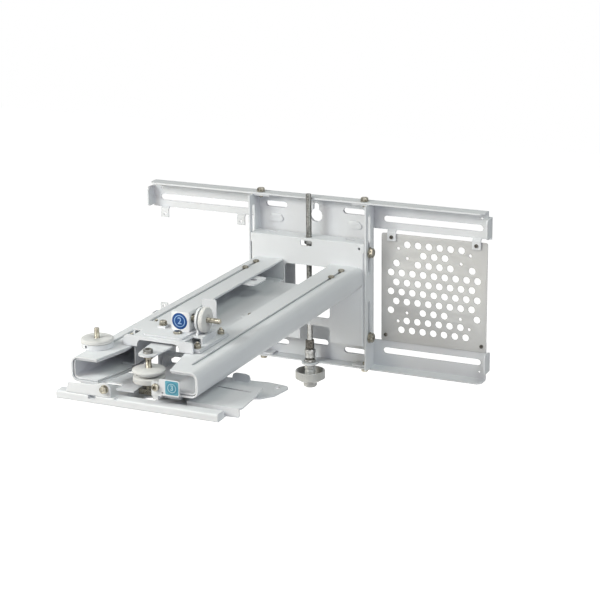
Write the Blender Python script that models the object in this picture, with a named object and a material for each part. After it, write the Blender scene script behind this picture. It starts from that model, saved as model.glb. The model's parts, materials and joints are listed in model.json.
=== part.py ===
"""Projector wall mount: wall rails, lift column, sliding double arm and a three-way head.

Frame: origin on the upper rail's back face, in the middle of the wall bracket's width.
+X goes right along the wall, the arm reaches out to -Y, +Z is up; the wall is Y = 0.
The pieces are laid out around the middle between the two rails and lowered at the end.
Lengths in metres.
"""
import math

import bmesh
import bpy
from mathutils import Matrix, Vector

MM = 0.001
GAP = 0.3 * MM            # running gap kept between pieces that touch

ORIGIN_HEIGHT = 107 * MM  # origin above the middle between the rails

# Wall rails
RAIL_LENGTH = 496 * MM
COLUMN_WIDTH = 171 * MM   # the lift column stands on the rails' middle
RAIL_SPREAD = 230 * MM    # over the two rails, top to bottom
RAIL_WEB = 38 * MM        # height of one rail's web
RAIL_SHELF = 22 * MM      # depth of the shelf that is folded forward
RAIL_WALL = 2 * MM
RAIL_SLOT_WIDTH = 8.4 * MM
RAIL_SLOT_DROP = 24 * MM  # slot line below the rail's outer edge
RAIL_SLOT_IN = COLUMN_WIDTH / 2 + 12.5 * MM
RAIL_SLOT_MARGIN = 12 * MM
END_TAB_HEIGHT = 27 * MM
END_TAB_DEPTH = 20 * MM
END_TAB_IN = {1: 8 * MM, -1: 13.5 * MM}   # tab below the rail's outer edge
END_TAB_OUT = 5 * MM      # a tab stands out past the web and the shelf
EAR_WIDTH = 12 * MM
EAR_DROP = 14 * MM        # how far an ear hangs below the web
EAR_IN = {1: 15 * MM, -1: 6.5 * MM}   # ears stand this far in from the plate's sides
JOGGLE = 4.3 * MM         # the top ears stand forward by this

# Device plate with its field of round holes
DEVICE_WIDTH = RAIL_LENGTH / 2 - COLUMN_WIDTH / 2 - 14.5 * MM
DEVICE_TOP = RAIL_SPREAD / 2 - RAIL_WEB - 4.5 * MM
DEVICE_BOTTOM = -RAIL_SPREAD / 2 + RAIL_WEB + 0.5 * MM
DEVICE_WALL = 1.5 * MM
DEVICE_CENTRE_X = COLUMN_WIDTH / 2 + 10.1 * MM + DEVICE_WIDTH / 2
DEVICE_HEIGHT = DEVICE_TOP - DEVICE_BOTTOM
HOLE_PITCH = DEVICE_WIDTH * 15.1 / 148
ROW_STEP = DEVICE_HEIGHT * 15.1 * math.sqrt(3) / 2 / 149
HOLE_RADIUS = HOLE_PITCH * 0.29
SMALL_HOLE_RADIUS = HOLE_PITCH * 0.145
VESA_SMALL = (DEVICE_WIDTH * 75 / 148, DEVICE_HEIGHT * 75 / 149)
VESA_LARGE = (VESA_SMALL[0] * 4 / 3, VESA_SMALL[1] * 4 / 3)

# Lift column: a U of sheet between the rails
COLUMN_DEPTH = 33 * MM
COLUMN_WALL = 2.2 * MM
LIFT_SLOT_WIDTH = 7.4 * MM
LIFT_SLOT_Y = -21.5 * MM
LIFT_TRAVEL = 45 * MM
BOLT_HIGH_Z = 48 * MM
BOLT_LOW_Z = -69 * MM
LIFT_SLOT_EXTRA = {BOLT_HIGH_Z: 26 * MM, BOLT_LOW_Z: 3 * MM}   # slot below the bolt

# Lift carriage
CARRIAGE_TOP = 62 * MM
CARRIAGE_BOTTOM = -79 * MM
CARRIAGE_WALL = 2 * MM
CARRIAGE_SIDE_DEPTH = 24 * MM
CARRIAGE_CLEAR = 0.6 * MM

# Lift screw
ROD_RADIUS = 3.95 * MM
ROD_Y = -25 * MM
ROD_TOP = 121 * MM
KNOB_RADIUS = 20.5 * MM
KNOB_RIM_Z = -125 * MM
KNOB_HEIGHT = 14 * MM
LIFT_NUT_FLATS = 11 * MM

# Arm channels and the slide channels nested in them
ARM_TOP = 30 * MM
ARM_HEIGHT = 30 * MM
ARM_HALF = 81 * MM        # outer face of an arm from the middle
ARM_INNER = 35 * MM       # the arm's flange edge from the middle
ARM_FRONT = -498 * MM
ARM_WALL = 2 * MM
ARM_BEND = 8 * MM         # bend radius on the sheet's middle line
SLOT_X = 61.9 * MM
SLOT_WIDTH = 4.6 * MM
SLOT_FRONT = -471 * MM
SLOT_REAR = -57 * MM
NEST_GAP = 0.8 * MM
SLIDE_REAR = -52 * MM
SLIDE_WALL = 1.8 * MM
SLIDE_TRAVEL = 240 * MM
SCREW_SPACING = 32 * MM
FLOOR_REAR = -62 * MM
FLOOR_FRONT = -345 * MM
FLOOR_WALL = 1.6 * MM

# Bridge over the arms
BRIDGE_FRONT = -441 * MM
BRIDGE_REAR = -364 * MM
BRIDGE_HALF = 45 * MM
BRIDGE_TOP = 43 * MM
BRIDGE_WALL = 2 * MM
HANGER_CHEEK_X = 33 * MM
FOOT_SCREW_X = {-1: HANGER_CHEEK_X + 6 * MM, 1: HANGER_CHEEK_X + 13 * MM}
# Each foot reaches past its screws and past the bridge's side flange, whichever is farther out
FOOT_OUT = {-1: max(FOOT_SCREW_X[-1] + 6 * MM, BRIDGE_HALF + 5 * MM),
            1: max(FOOT_SCREW_X[1] + 6 * MM, BRIDGE_HALF + 7 * MM)}
HEAD_X = 4 * MM           # the head's own middle line
YOKE_DROP = 5.5 * MM      # yoke's top below the bridge plate

# Swivel, tilt and roll of the head
SWIVEL_Y = -378 * MM
TILT_Y = -392 * MM
TILT_Z = 9 * MM
ROLL_Z = -12.6 * MM
STUD_Y = -470 * MM
STUD_RADIUS = 3.6 * MM
PIN_RADIUS = 3 * MM
DIAL_RADIUS = 14.8 * MM
DIAL_Z = BRIDGE_TOP + 16.5 * MM
DIAL_Y = -402 * MM
DISC_RADIUS = 19 * MM     # the tilt stud's two discs
LOCK_RADIUS = 19 * MM     # the slide lock's disc

# Tilt plate, and below it the projector plate
TILT_PLATE_TOP = -6.5 * MM
TILT_PLATE_WALL = 2 * MM
TILT_PLATE_FRONT = -486 * MM
TILT_PLATE_REAR = -378 * MM
TILT_PLATE_LEFT = -30 * MM
TILT_PLATE_RIGHT = 52 * MM
EAR_SPREAD = 20.5 * MM    # the tilt plate's ears, from the head's middle
PLATE_TOP = -19 * MM
PLATE_WALL = 2 * MM
PLATE_FRONT = -505 * MM
PLATE_REAR = -368 * MM
PLATE_LEFT = -98 * MM
PLATE_RIGHT = 108 * MM
RIM_TOP = -11.5 * MM
RIM_DEPTH = 16 * MM
DECK_TOP = -8.5 * MM
DECK_LEFT = 60 * MM
DECK_RIGHT = 127 * MM
DECK_FRONT = -486 * MM
DECK_REAR = -414 * MM

PLANES = {
    "X": Matrix(((0, 0, 1), (1, 0, 0), (0, 1, 0))),
    "Y": Matrix(((1, 0, 0), (0, 0, 1), (0, 1, 0))),
    "Z": Matrix(((1, 0, 0), (0, 1, 0), (0, 0, 1))),
}


def clear_scene():
    for thing in list(bpy.data.objects):
        bpy.data.objects.remove(thing, do_unlink=True)


def material(name, colour, roughness, metallic):
    made = bpy.data.materials.new(name)
    made.use_nodes = True
    shader = made.node_tree.nodes["Principled BSDF"]
    shader.inputs["Base Color"].default_value = (*colour, 1.0)
    shader.inputs["Roughness"].default_value = roughness
    shader.inputs["Metallic"].default_value = metallic
    made.diffuse_color = (*colour, 1.0)
    return made


FINISHES = {
    "powder_coat": ((0.80, 0.81, 0.80), 0.45, 0.0),
    "screw_steel": ((0.52, 0.48, 0.40), 0.35, 1.0),
    "rod_steel": ((0.33, 0.33, 0.34), 0.35, 1.0),
    "dial_plastic": ((0.74, 0.74, 0.72), 0.4, 0.0),
}


# Flat outlines, as lists of 2D points

def arc(centre, radius, start, end, steps):
    """Points of an arc; angles in degrees."""
    points = []
    for step in range(steps + 1):
        angle = math.radians(start + (end - start) * step / steps)
        points.append((centre[0] + radius * math.cos(angle), centre[1] + radius * math.sin(angle)))
    return points


def circle(centre, radius, sides=16):
    return arc(centre, radius, 0, 360 - 360 / sides, sides - 1)


def hexagon(centre, flats, turn=0):
    return arc(centre, flats / math.sqrt(3), turn, turn + 300, 5)


def rounded(low, high, radius, steps=2):
    """A rectangle with round corners."""
    corners = (((high[0] - radius, high[1] - radius), 0), ((low[0] + radius, high[1] - radius), 90),
               ((low[0] + radius, low[1] + radius), 180), ((high[0] - radius, low[1] + radius), 270))
    points = []
    for centre, start in corners:
        points += arc(centre, radius, start, start + 90, steps)
    return points


def slot(a, b, width, steps=4):
    """A slot with round ends between two centres."""
    turn = math.degrees(math.atan2(b[1] - a[1], b[0] - a[0]))
    return arc(b, width / 2, turn - 90, turn + 90, steps) + arc(a, width / 2, turn + 90, turn + 270, steps)


def keyhole(centre, big, small, rise, steps=5):
    """A round hole that opens upwards into a narrower slot."""
    lean = math.degrees(math.asin(small / big))
    return (arc(centre, big, 90 + lean, 450 - lean, 2 * steps)
            + arc((centre[0], centre[1] + rise), small, 0, 180, steps))


def bent_strip(path, wall, bend, steps=3):
    """The section of a folded sheet: a middle line with bends, given its wall."""
    line = []
    points = [Vector(p) for p in path]
    for index, point in enumerate(points):
        if index in (0, len(points) - 1):
            other = points[1] if index == 0 else points[-2]
            along = (other - point if index == 0 else point - other).normalized()
            line.append((point, Vector((-along.y, along.x))))
            continue
        before = (point - points[index - 1]).normalized()
        after = (points[index + 1] - point).normalized()
        turn = math.atan2(before.x * after.y - before.y * after.x, before.dot(after))
        reach = bend * math.tan(abs(turn) / 2)
        side = 1 if turn > 0 else -1
        normal = Vector((-before.y, before.x))
        centre = point - before * reach + normal * bend * side
        for step in range(steps + 1):
            angle = turn * step / steps
            spoke = Vector((normal.x * math.cos(angle) - normal.y * math.sin(angle),
                            normal.x * math.sin(angle) + normal.y * math.cos(angle)))
            line.append((centre - spoke * bend * side, spoke))
    left = [tuple(point + normal * wall / 2) for point, normal in line]
    right = [tuple(point - normal * wall / 2) for point, normal in line]
    return left + right[::-1]


# Solids

def sheet(outline, holes, plane, low, high):
    """A flat outline with holes, given a thickness along the plane's normal."""
    mesh = bmesh.new()
    edges = []
    for loop in [outline] + list(holes):
        verts = [mesh.verts.new((u, v, low)) for u, v in loop]
        edges += [mesh.edges.new((verts[i - 1], verts[i])) for i in range(len(verts))]
    filled = bmesh.ops.triangle_fill(mesh, use_beauty=True, use_dissolve=False, edges=edges)
    faces = [g for g in filled["geom"] if isinstance(g, bmesh.types.BMFace)]
    grown = bmesh.ops.extrude_face_region(mesh, geom=faces)
    moved = [g for g in grown["geom"] if isinstance(g, bmesh.types.BMVert)]
    bmesh.ops.translate(mesh, verts=moved, vec=(0, 0, high - low))
    bmesh.ops.transform(mesh, matrix=PLANES[plane].to_4x4(), verts=mesh.verts)
    bmesh.ops.recalc_face_normals(mesh, faces=mesh.faces)
    return mesh


def block(low, high):
    """A plain rectangular solid between two corners."""
    return sheet([(low[0], low[1]), (high[0], low[1]), (high[0], high[1]), (low[0], high[1])], [],
                 "Z", low[2], high[2])


def turned(profile, plane, centre, sides=12):
    """A closed turned solid: profile of (radius, height), both ends on the axis.

    A third value "hex" makes that ring a hexagon, its radius half the width across flats.
    """
    mesh = bmesh.new()
    rings = []
    for radius, height, *shape in profile:
        if radius == 0:
            rings.append([mesh.verts.new((centre[0], centre[1], height))])
            continue
        ring = []
        for side in range(sides):
            angle = 2 * math.pi * side / sides
            reach = radius / math.cos(angle % (math.pi / 3) - math.pi / 6) if shape else radius
            ring.append(mesh.verts.new((centre[0] + reach * math.cos(angle),
                                        centre[1] + reach * math.sin(angle), height)))
        rings.append(ring)
    for lower, upper in zip(rings, rings[1:]):
        for side in range(sides):
            after = (side + 1) % sides
            quad = [lower[side % len(lower)], lower[after % len(lower)],
                    upper[after % len(upper)], upper[side % len(upper)]]
            corners = list(dict.fromkeys(quad))
            mesh.faces.new(corners)
    bmesh.ops.transform(mesh, matrix=PLANES[plane].to_4x4(), verts=mesh.verts)
    bmesh.ops.recalc_face_normals(mesh, faces=mesh.faces)
    return mesh


def tube(profile, plane, centre, sides=16):
    """A turned ring: profile of (radius, height) goes round and closes on itself."""
    mesh = bmesh.new()
    rings = []
    for radius, height in profile:
        ring = []
        for side in range(sides):
            angle = 2 * math.pi * side / sides
            ring.append(mesh.verts.new((centre[0] + radius * math.cos(angle),
                                        centre[1] + radius * math.sin(angle), height)))
        rings.append(ring)
    for lower, upper in zip(rings, rings[1:] + rings[:1]):
        for side in range(sides):
            after = (side + 1) % sides
            mesh.faces.new((lower[side], lower[after], upper[after], upper[side]))
    bmesh.ops.transform(mesh, matrix=PLANES[plane].to_4x4(), verts=mesh.verts)
    bmesh.ops.recalc_face_normals(mesh, faces=mesh.faces)
    return mesh


def as_object(name, mesh):
    data = bpy.data.meshes.new(name)
    mesh.to_mesh(data)
    mesh.free()
    thing = bpy.data.objects.new(name, data)
    bpy.context.scene.collection.objects.link(thing)
    return thing


def helper_object(name, mesh):
    thing = as_object(name, mesh)
    thing.hide_render = True
    thing.display_type = "WIRE"
    return thing


def together(meshes):
    """Several separate solids as one mesh."""
    whole = bmesh.new()
    for mesh in meshes:
        data = bpy.data.meshes.new("loose")
        mesh.to_mesh(data)
        mesh.free()
        whole.from_mesh(data)
        bpy.data.meshes.remove(data)
    return whole


def piece(name, finish, solid, adds=(), cuts=(), origin=None):
    """One named piece: a solid, what is joined to it and what is cut from it."""
    thing = as_object(name, solid)
    for index, mesh in enumerate(adds):
        join = thing.modifiers.new(f"join_{index}", "BOOLEAN")
        join.operation = "UNION"
        join.object = helper_object(f"{name}_join_{index}", mesh)
    for index, mesh in enumerate(cuts):
        cut = thing.modifiers.new(f"cut_{index}", "BOOLEAN")
        cut.operation = "DIFFERENCE"
        cut.object = helper_object(f"{name}_cut_{index}", mesh)
    thing.data.materials.append(material(name, *FINISHES[finish]))
    thing.data.shade_smooth()
    thing.data.set_sharp_from_angle(angle=math.radians(32))
    if origin:
        thing.data.transform(Matrix.Translation(-Vector(origin)))
        thing.location = origin
    return thing


# Fasteners, each one solid

def hex_profile(seat, away, flats, head, length, washer=0.0):
    """Turned outline of a hexagon bolt on its seat; the shank goes the other way."""
    turn = 1 if away > 0 else -1
    shank = flats * 0.29
    start = seat + turn * GAP
    face = start + turn * washer
    rings = [(0, start - turn * length), (shank, start - turn * length), (shank, start)]
    if washer:
        rings += [(flats * 0.64, start), (flats * 0.64, face)]
    return rings + [(flats / 2, face, "hex"), (flats / 2, face + turn * head * 0.85, "hex"),
                    (flats * 0.46, face + turn * head), (0, face + turn * head)]


def screw_profile(radius, head, shank, length, up):
    """Turned outline of a pan-head screw: head on its seat at zero, shank behind it."""
    rise = 1 if up > 0 else -1
    return [(0, -rise * length), (shank, -rise * length), (shank, 0), (radius, 0),
            (radius, rise * head * 0.55), (radius * 0.75, rise * head), (0, rise * head)]


def shift(profile, height):
    return [(ring[0], ring[1] + height, *ring[2:]) for ring in profile]


# Wall bracket

def rail(name, side):
    """One wall rail; side is +1 for the upper one, -1 for the lower one."""
    half = RAIL_LENGTH / 2
    edge = side * RAIL_SPREAD / 2
    web_end = edge - side * RAIL_WEB
    middle = RAIL_WALL / 2
    section = bent_strip([(-middle, web_end), (-middle, edge - side * middle),
                          (-RAIL_SHELF, edge - side * middle)], RAIL_WALL, 1.3 * MM, 3)
    body = sheet(section, [], "X", -half, half)
    joins = []
    tab_top = edge - side * END_TAB_IN[side]
    for end in (-1, 1):
        tab = rounded((-END_TAB_DEPTH, min(tab_top, tab_top - side * END_TAB_HEIGHT)),
                      (-0.2 * MM, max(tab_top, tab_top - side * END_TAB_HEIGHT)), 4 * MM)
        joins.append(sheet(tab, [], "X", *sorted((end * (half - RAIL_WALL), end * (half + 0.01 * MM)))))
    forward = -JOGGLE if side > 0 else 0
    for x in ear_places(side):
        low = web_end - side * EAR_DROP
        path = [(-middle, web_end + side * 5 * MM), (-middle, web_end + side * 1.2 * MM),
                (-middle + forward, web_end - side * 2.2 * MM), (-middle + forward, low)]
        ear = bent_strip(path if forward else [path[0], path[3]], RAIL_WALL, 1.2 * MM, 2)
        joins.append(sheet(ear, [], "X", x - EAR_WIDTH / 2, x + EAR_WIDTH / 2))
    slot_z = edge - side * RAIL_SLOT_DROP
    slot_out = half - RAIL_SLOT_MARGIN - RAIL_SLOT_WIDTH / 2
    slot_in = RAIL_SLOT_IN + RAIL_SLOT_WIDTH / 2
    cutters = []
    corners = []
    for end in (-1, 1):
        shelf_end = half - END_TAB_OUT
        corner = [(end * shelf_end, 1 * MM), (end * shelf_end, -RAIL_SHELF + 6 * MM),
                  (end * (shelf_end - 6 * MM), -RAIL_SHELF - 1 * MM), (end * (half + 1 * MM), -RAIL_SHELF - 1 * MM),
                  (end * (half + 1 * MM), 1 * MM)]
        corners.append(sheet(corner, [], "Z", *sorted((tab_top + side * 0.02 * MM, edge + side * 1 * MM))))
        cutters.append(sheet(slot((end * slot_in, slot_z), (end * slot_out, slot_z), RAIL_SLOT_WIDTH), [], "Y",
                             -RAIL_WALL - 3 * MM, 3 * MM))
        small = (end * (half - 14 * MM), edge - side * 11 * MM)
        cutters.append(sheet(circle(small, 1.4 * MM, 12), [], "Y", -RAIL_WALL - 3 * MM, 3 * MM))
    for outline in column_openings(side):
        cutters.append(sheet(outline, [], "Y", -RAIL_WALL - 3 * MM, 3 * MM))
    for x in ear_places(side):
        hole = (x, ear_screw_z(side))
        cutters.append(sheet(circle(hole, 1.9 * MM, 12), [], "Y", -JOGGLE - RAIL_WALL - 3 * MM, 3 * MM))
    for x in (-rail_bolt_x(), rail_bolt_x()):
        cutters.append(sheet(circle((x, rail_bolt_y()), 3.4 * MM, 16), [], "Z",
                             *sorted((edge - side * 4 * MM, edge + side * 3 * MM))))
    solid_cuts = [together(corners), together(cutters)]
    if side > 0:
        notch = slot((0, ROD_Y - 4 * MM), (0, ROD_Y), 2 * (ROD_RADIUS + 1.2 * MM))
        solid_cuts.append(sheet(notch, [], "Z", edge - 5 * MM, edge + 5 * MM))
    else:
        tongue = slot((0, ROD_Y + 6 * MM), (0, ROD_Y), 24 * MM, 8)
        joins.append(sheet(tongue, [], "Z", edge, edge + RAIL_WALL))
        bush = circle((0, ROD_Y), bush_radius() + GAP, 16)
        solid_cuts.append(sheet(bush, [], "Z", edge - 5 * MM, edge + 5 * MM))
    return piece(name, "powder_coat", body, joins, solid_cuts)


def column_openings(side):
    """Openings that go through the column's back plate and the rail behind it."""
    wide = [slot((end * 45 * MM, side * 97 * MM), (end * 69 * MM, side * 97 * MM), 8 * MM) for end in (-1, 1)]
    if side > 0:
        return wide + [keyhole((1.5 * MM, 87 * MM), 9 * MM, 4.2 * MM, 13 * MM)]
    return wide + [slot((-10 * MM, -90.5 * MM), (14 * MM, -90.5 * MM), 8.5 * MM)]


def ear_places(side):
    reach = DEVICE_WIDTH / 2 - EAR_IN[side]
    return [side * DEVICE_CENTRE_X + way * reach for side in (-1, 1) for way in (-1, 1)]


def ear_screw_z(side):
    return side * (RAIL_SPREAD / 2 - RAIL_WEB - EAR_DROP + 5 * MM)


def rail_bolt_x():
    return COLUMN_WIDTH / 2 - 10 * MM


def rail_bolt_y():
    return -RAIL_SHELF * 0.62


def bush_radius():
    return ROD_RADIUS + 2.6 * MM


def device_plate():
    """Perforated plate on the right half, held by four screws on the rails' ears."""
    back = -RAIL_WALL - GAP
    front = back - DEVICE_WALL
    half_w = DEVICE_WIDTH / 2
    outline = rounded((DEVICE_CENTRE_X - half_w, DEVICE_BOTTOM), (DEVICE_CENTRE_X + half_w, DEVICE_TOP), 4 * MM)
    rows = ((3, 5, 7, 9, 11, 13), (6, 8, 10), (1, 5, 7, 9, 11, 15), range(0, 17, 2), range(1, 16, 2),
            range(0, 17, 2), range(1, 16, 2), (0, 6, 8, 10, 16), (3, 5, 7, 9, 11, 13), range(2, 15, 2))
    holes = []
    for number, row in enumerate(rows):
        z = ROW_STEP * (4.5 - number)
        for column in row:
            holes.append(circle((DEVICE_CENTRE_X + (column - 8) * HOLE_PITCH / 2, z), HOLE_RADIUS, 8))
    for wide, tall in (VESA_SMALL, VESA_LARGE):
        for x in (-wide / 2, wide / 2):
            for z in (-tall / 2, tall / 2):
                holes.append(circle((DEVICE_CENTRE_X + x, z + 3 * MM), SMALL_HOLE_RADIUS, 6))
    screws = []
    for side in (-1, 1):
        for x in ear_places(side)[2:]:
            seat = -RAIL_WALL - JOGGLE - GAP if side > 0 else front
            profile = shift(screw_profile(3.6 * MM, 2.2 * MM, 1.5 * MM, back - seat - 0.2 * MM, -1), seat)
            screws.append(turned(profile, "Y", (x, ear_screw_z(side)), 12))
    piece("device_plate", "powder_coat", sheet(outline, holes, "Y", front, back), [together(screws)])


def column_frame():
    """U-shaped column: back plate, two side flanges with lift slots, tabs under the rails."""
    half = COLUMN_WIDTH / 2
    back = -RAIL_WALL - GAP
    middle = COLUMN_WALL / 2
    high = RAIL_SPREAD / 2 - RAIL_WALL - GAP
    section = bent_strip([(-half + middle, -COLUMN_DEPTH), (-half + middle, back - middle),
                          (half - middle, back - middle), (half - middle, -COLUMN_DEPTH)],
                         COLUMN_WALL, 3 * MM, 3)
    body = sheet(section, [], "Z", -high, high)
    joins = []
    for side in (-1, 1):
        for end in (-1, 1):
            tab = rounded((min(end * (half - 26 * MM), end * (half - COLUMN_WALL / 2)), -20 * MM),
                          (max(end * (half - 26 * MM), end * (half - COLUMN_WALL / 2)), back - middle), 1 * MM, 1)
            joins.append(sheet(tab, [], "Z", *sorted((side * (high - COLUMN_WALL), side * (high - 0.01 * MM)))))
        for end in (-1, 1):
            rib = slot((end * 51 * MM, side * 78 * MM), (end * 64 * MM, side * 78 * MM), 8 * MM, 4)
            joins.append(sheet(rib, [], "Y", back - COLUMN_WALL - 1.6 * MM, back - middle))
    cutters = []
    window = rounded((-31 * MM, -58 * MM), (31 * MM, 58 * MM), 5 * MM)
    for outline in [window] + column_openings(1) + column_openings(-1):
        cutters.append(sheet(outline, [], "Y", back - COLUMN_WALL - 4 * MM, 3 * MM))
    across = together(cutters)
    lift_slots = []
    for end in (-1, 1):
        for z in (BOLT_HIGH_Z, BOLT_LOW_Z):
            low = z - LIFT_SLOT_EXTRA[z]
            top = z + LIFT_TRAVEL + 2 * MM
            lift_slots.append(sheet(slot((LIFT_SLOT_Y, low), (LIFT_SLOT_Y, top), LIFT_SLOT_WIDTH), [], "X",
                                    *sorted((end * (half - 6 * MM), end * (half + 4 * MM)))))
    bolt_holes = []
    for side in (-1, 1):
        for x in (-rail_bolt_x(), rail_bolt_x()):
            bolt_holes.append(sheet(circle((x, rail_bolt_y()), 3.4 * MM, 16), [], "Z",
                                    *sorted((side * (high - 6 * MM), side * (high + 3 * MM)))))
    piece("column_frame", "powder_coat", body, joins, [across, together(lift_slots), together(bolt_holes)])
    for side, height in ((-1, "bottom"), (1, "top")):
        for end, way in ((-1, "left"), (1, "right")):
            profile = hex_profile(side * RAIL_SPREAD / 2, side, 9 * MM, 4 * MM, 8 * MM, 1 * MM)
            piece(f"rail_bolt_{height}_{way}", "screw_steel",
                  turned(profile, "Z", (end * rail_bolt_x(), rail_bolt_y()), 12))


# Lift screw

def lift_screw():
    """Threaded rod that spins in the lower rail's bush and lifts the carriage."""
    centre = (0, ROD_Y)
    shelf = -RAIL_SPREAD / 2
    bush_top = shelf + RAIL_WALL + 4 * MM
    bush_bottom = shelf - 3 * MM
    radius = bush_radius()
    inner = ROD_RADIUS + GAP
    flange = radius + 1 * MM
    piece("lift_bush", "rod_steel",
          tube([(inner, bush_bottom), (radius, bush_bottom), (radius, shelf + RAIL_WALL + GAP),
                (flange, shelf + RAIL_WALL + GAP), (flange, bush_top), (inner, bush_top)], "Z", centre, 12))
    rod_bottom = KNOB_RIM_Z + 2 * MM
    piece("lift_rod", "rod_steel",
          turned([(0, rod_bottom), (ROD_RADIUS, rod_bottom), (ROD_RADIUS, ROD_TOP - 1 * MM),
                  (ROD_RADIUS - 1 * MM, ROD_TOP), (0, ROD_TOP)], "Z", centre, 12), origin=(0, ROD_Y, 0))
    sleeve_low = bush_top + GAP
    sleeve_high = sleeve_low + 14 * MM
    piece("rod_sleeve", "rod_steel",
          tube([(inner, sleeve_low), (6.2 * MM, sleeve_low), (6.8 * MM, sleeve_low + 1 * MM),
                (6.8 * MM, sleeve_high - 1 * MM), (6.2 * MM, sleeve_high), (inner, sleeve_high)],
               "Z", centre, 12), origin=(0, ROD_Y, 0))
    nut_low = sleeve_high + GAP
    piece("rod_lock_nut", "rod_steel",
          sheet(hexagon(centre, 11 * MM), [circle(centre, inner, 12)], "Z", nut_low, nut_low + 13 * MM),
          origin=(0, ROD_Y, 0))
    collar_high = bush_bottom - GAP
    collar_low = collar_high - 5 * MM
    collar = sheet(circle(centre, 6.4 * MM, 16), [circle(centre, inner, 12)], "Z", collar_low, collar_high)
    piece("rod_collar", "rod_steel", collar, origin=(0, ROD_Y, 0))
    hub_high = collar_low - GAP
    rim = KNOB_RIM_Z
    low = rim - KNOB_HEIGHT
    radius = KNOB_RADIUS
    hub = 5 * MM
    piece("lift_knob", "dial_plastic",
          turned([(0, rod_bottom - GAP), (ROD_RADIUS + 0.3 * MM, rod_bottom - GAP),
                  (ROD_RADIUS + 0.3 * MM, hub_high), (hub + 1 * MM, hub_high), (hub + 1 * MM, rim - 6 * MM),
                  (radius - 3 * MM, rim - 6 * MM), (radius - 2.4 * MM, rim), (radius, rim - 0.8 * MM),
                  (radius, low + 3 * MM), (radius - 3 * MM, low), (9.5 * MM, low - 2.5 * MM),
                  (8 * MM, low - 2.6 * MM, "hex"), (8 * MM, low - 8.4 * MM, "hex"), (7.4 * MM, low - 9 * MM),
                  (0, low - 9 * MM)], "Z", centre, 36),
          origin=(0, ROD_Y, 0))


# Lift carriage and arms

def lift_carriage():
    """Folded carriage: front plate, side flanges inside the column and a top shelf."""
    half = COLUMN_WIDTH / 2 - COLUMN_WALL - CARRIAGE_CLEAR
    middle = CARRIAGE_WALL / 2
    front = -COLUMN_DEPTH
    section = bent_strip([(-half + middle, front + CARRIAGE_SIDE_DEPTH), (-half + middle, front + middle),
                          (half - middle, front + middle), (half - middle, front + CARRIAGE_SIDE_DEPTH)],
                         CARRIAGE_WALL, 2.5 * MM, 3)
    body = sheet(section, [], "Z", CARRIAGE_BOTTOM, CARRIAGE_TOP - 1 * MM)
    shelf = sheet(bent_strip([(front + middle, CARRIAGE_TOP - 12 * MM), (front + middle, CARRIAGE_TOP - middle),
                              (front + CARRIAGE_SIDE_DEPTH, CARRIAGE_TOP - middle)], CARRIAGE_WALL, 1.3 * MM, 3),
                  [], "X", -half + 0.01 * MM, half - 0.01 * MM)
    window = rounded((-ARM_INNER + 2 * MM, -46 * MM), (ARM_INNER - 2 * MM, ARM_TOP - 5 * MM), 4 * MM)
    notch = rounded((-11 * MM, CARRIAGE_BOTTOM - 6 * MM), (33 * MM, CARRIAGE_BOTTOM + 21 * MM), 4 * MM)
    nut_window = rounded((-9 * MM, CARRIAGE_TOP - 10.5 * MM), (8 * MM, CARRIAGE_TOP - 3.5 * MM), 1 * MM, 1)
    pin_hole = circle((half - 7 * MM, CARRIAGE_TOP - 7 * MM), 1.8 * MM, 12)
    flat = [sheet(o, [], "Y", front - 4 * MM, front + 6 * MM) for o in (window, notch, nut_window, pin_hole)]
    shelf_cuts = [sheet(circle((0, ROD_Y), ROD_RADIUS + 0.8 * MM, 12), [], "Z",
                        CARRIAGE_TOP - 6 * MM, CARRIAGE_TOP + 4 * MM)]
    for end in (-1, 1):
        shelf_cuts.append(sheet(slot((end * 52 * MM, front + 17 * MM), (end * 62 * MM, front + 17 * MM), 6 * MM),
                                [], "Z", CARRIAGE_TOP - 6 * MM, CARRIAGE_TOP + 4 * MM))
    side_cuts = []
    for end in (-1, 1):
        for z in (BOLT_HIGH_Z, BOLT_LOW_Z):
            side_cuts.append(sheet(circle((LIFT_SLOT_Y, z), lock_shank() + 0.3 * MM, 16), [], "X",
                                   *sorted((end * (half - 6 * MM), end * (half + 4 * MM)))))
    piece("lift_carriage", "powder_coat", body, [shelf],
          [together(flat), together(shelf_cuts), together(side_cuts)])
    nut_top = CARRIAGE_TOP - CARRIAGE_WALL - GAP
    piece("lift_nut", "rod_steel",
          sheet(hexagon((0, ROD_Y), LIFT_NUT_FLATS, 0), [circle((0, ROD_Y), ROD_RADIUS + 0.3 * MM, 12)],
                "Z", nut_top - 7 * MM, nut_top))
    for end, way in ((-1, "left"), (1, "right")):
        for z, height in ((BOLT_HIGH_Z, "upper"), (BOLT_LOW_Z, "lower")):
            profile = hex_profile(end * COLUMN_WIDTH / 2, end, 11.6 * MM, 4.5 * MM, 10 * MM, 1.6 * MM)
            piece(f"lock_bolt_{height}_{way}", "screw_steel", turned(profile, "X", (LIFT_SLOT_Y, z), 12))


def lock_shank():
    return 11.6 * MM * 0.29


def channel_section(outer, inner, top, bottom, wall, bend, end):
    middle = wall / 2
    return bent_strip([(end * inner, top - middle), (end * (outer - middle), top - middle),
                       (end * (outer - middle), bottom + middle), (end * inner, bottom + middle)],
                      wall, bend, 5)


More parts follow.
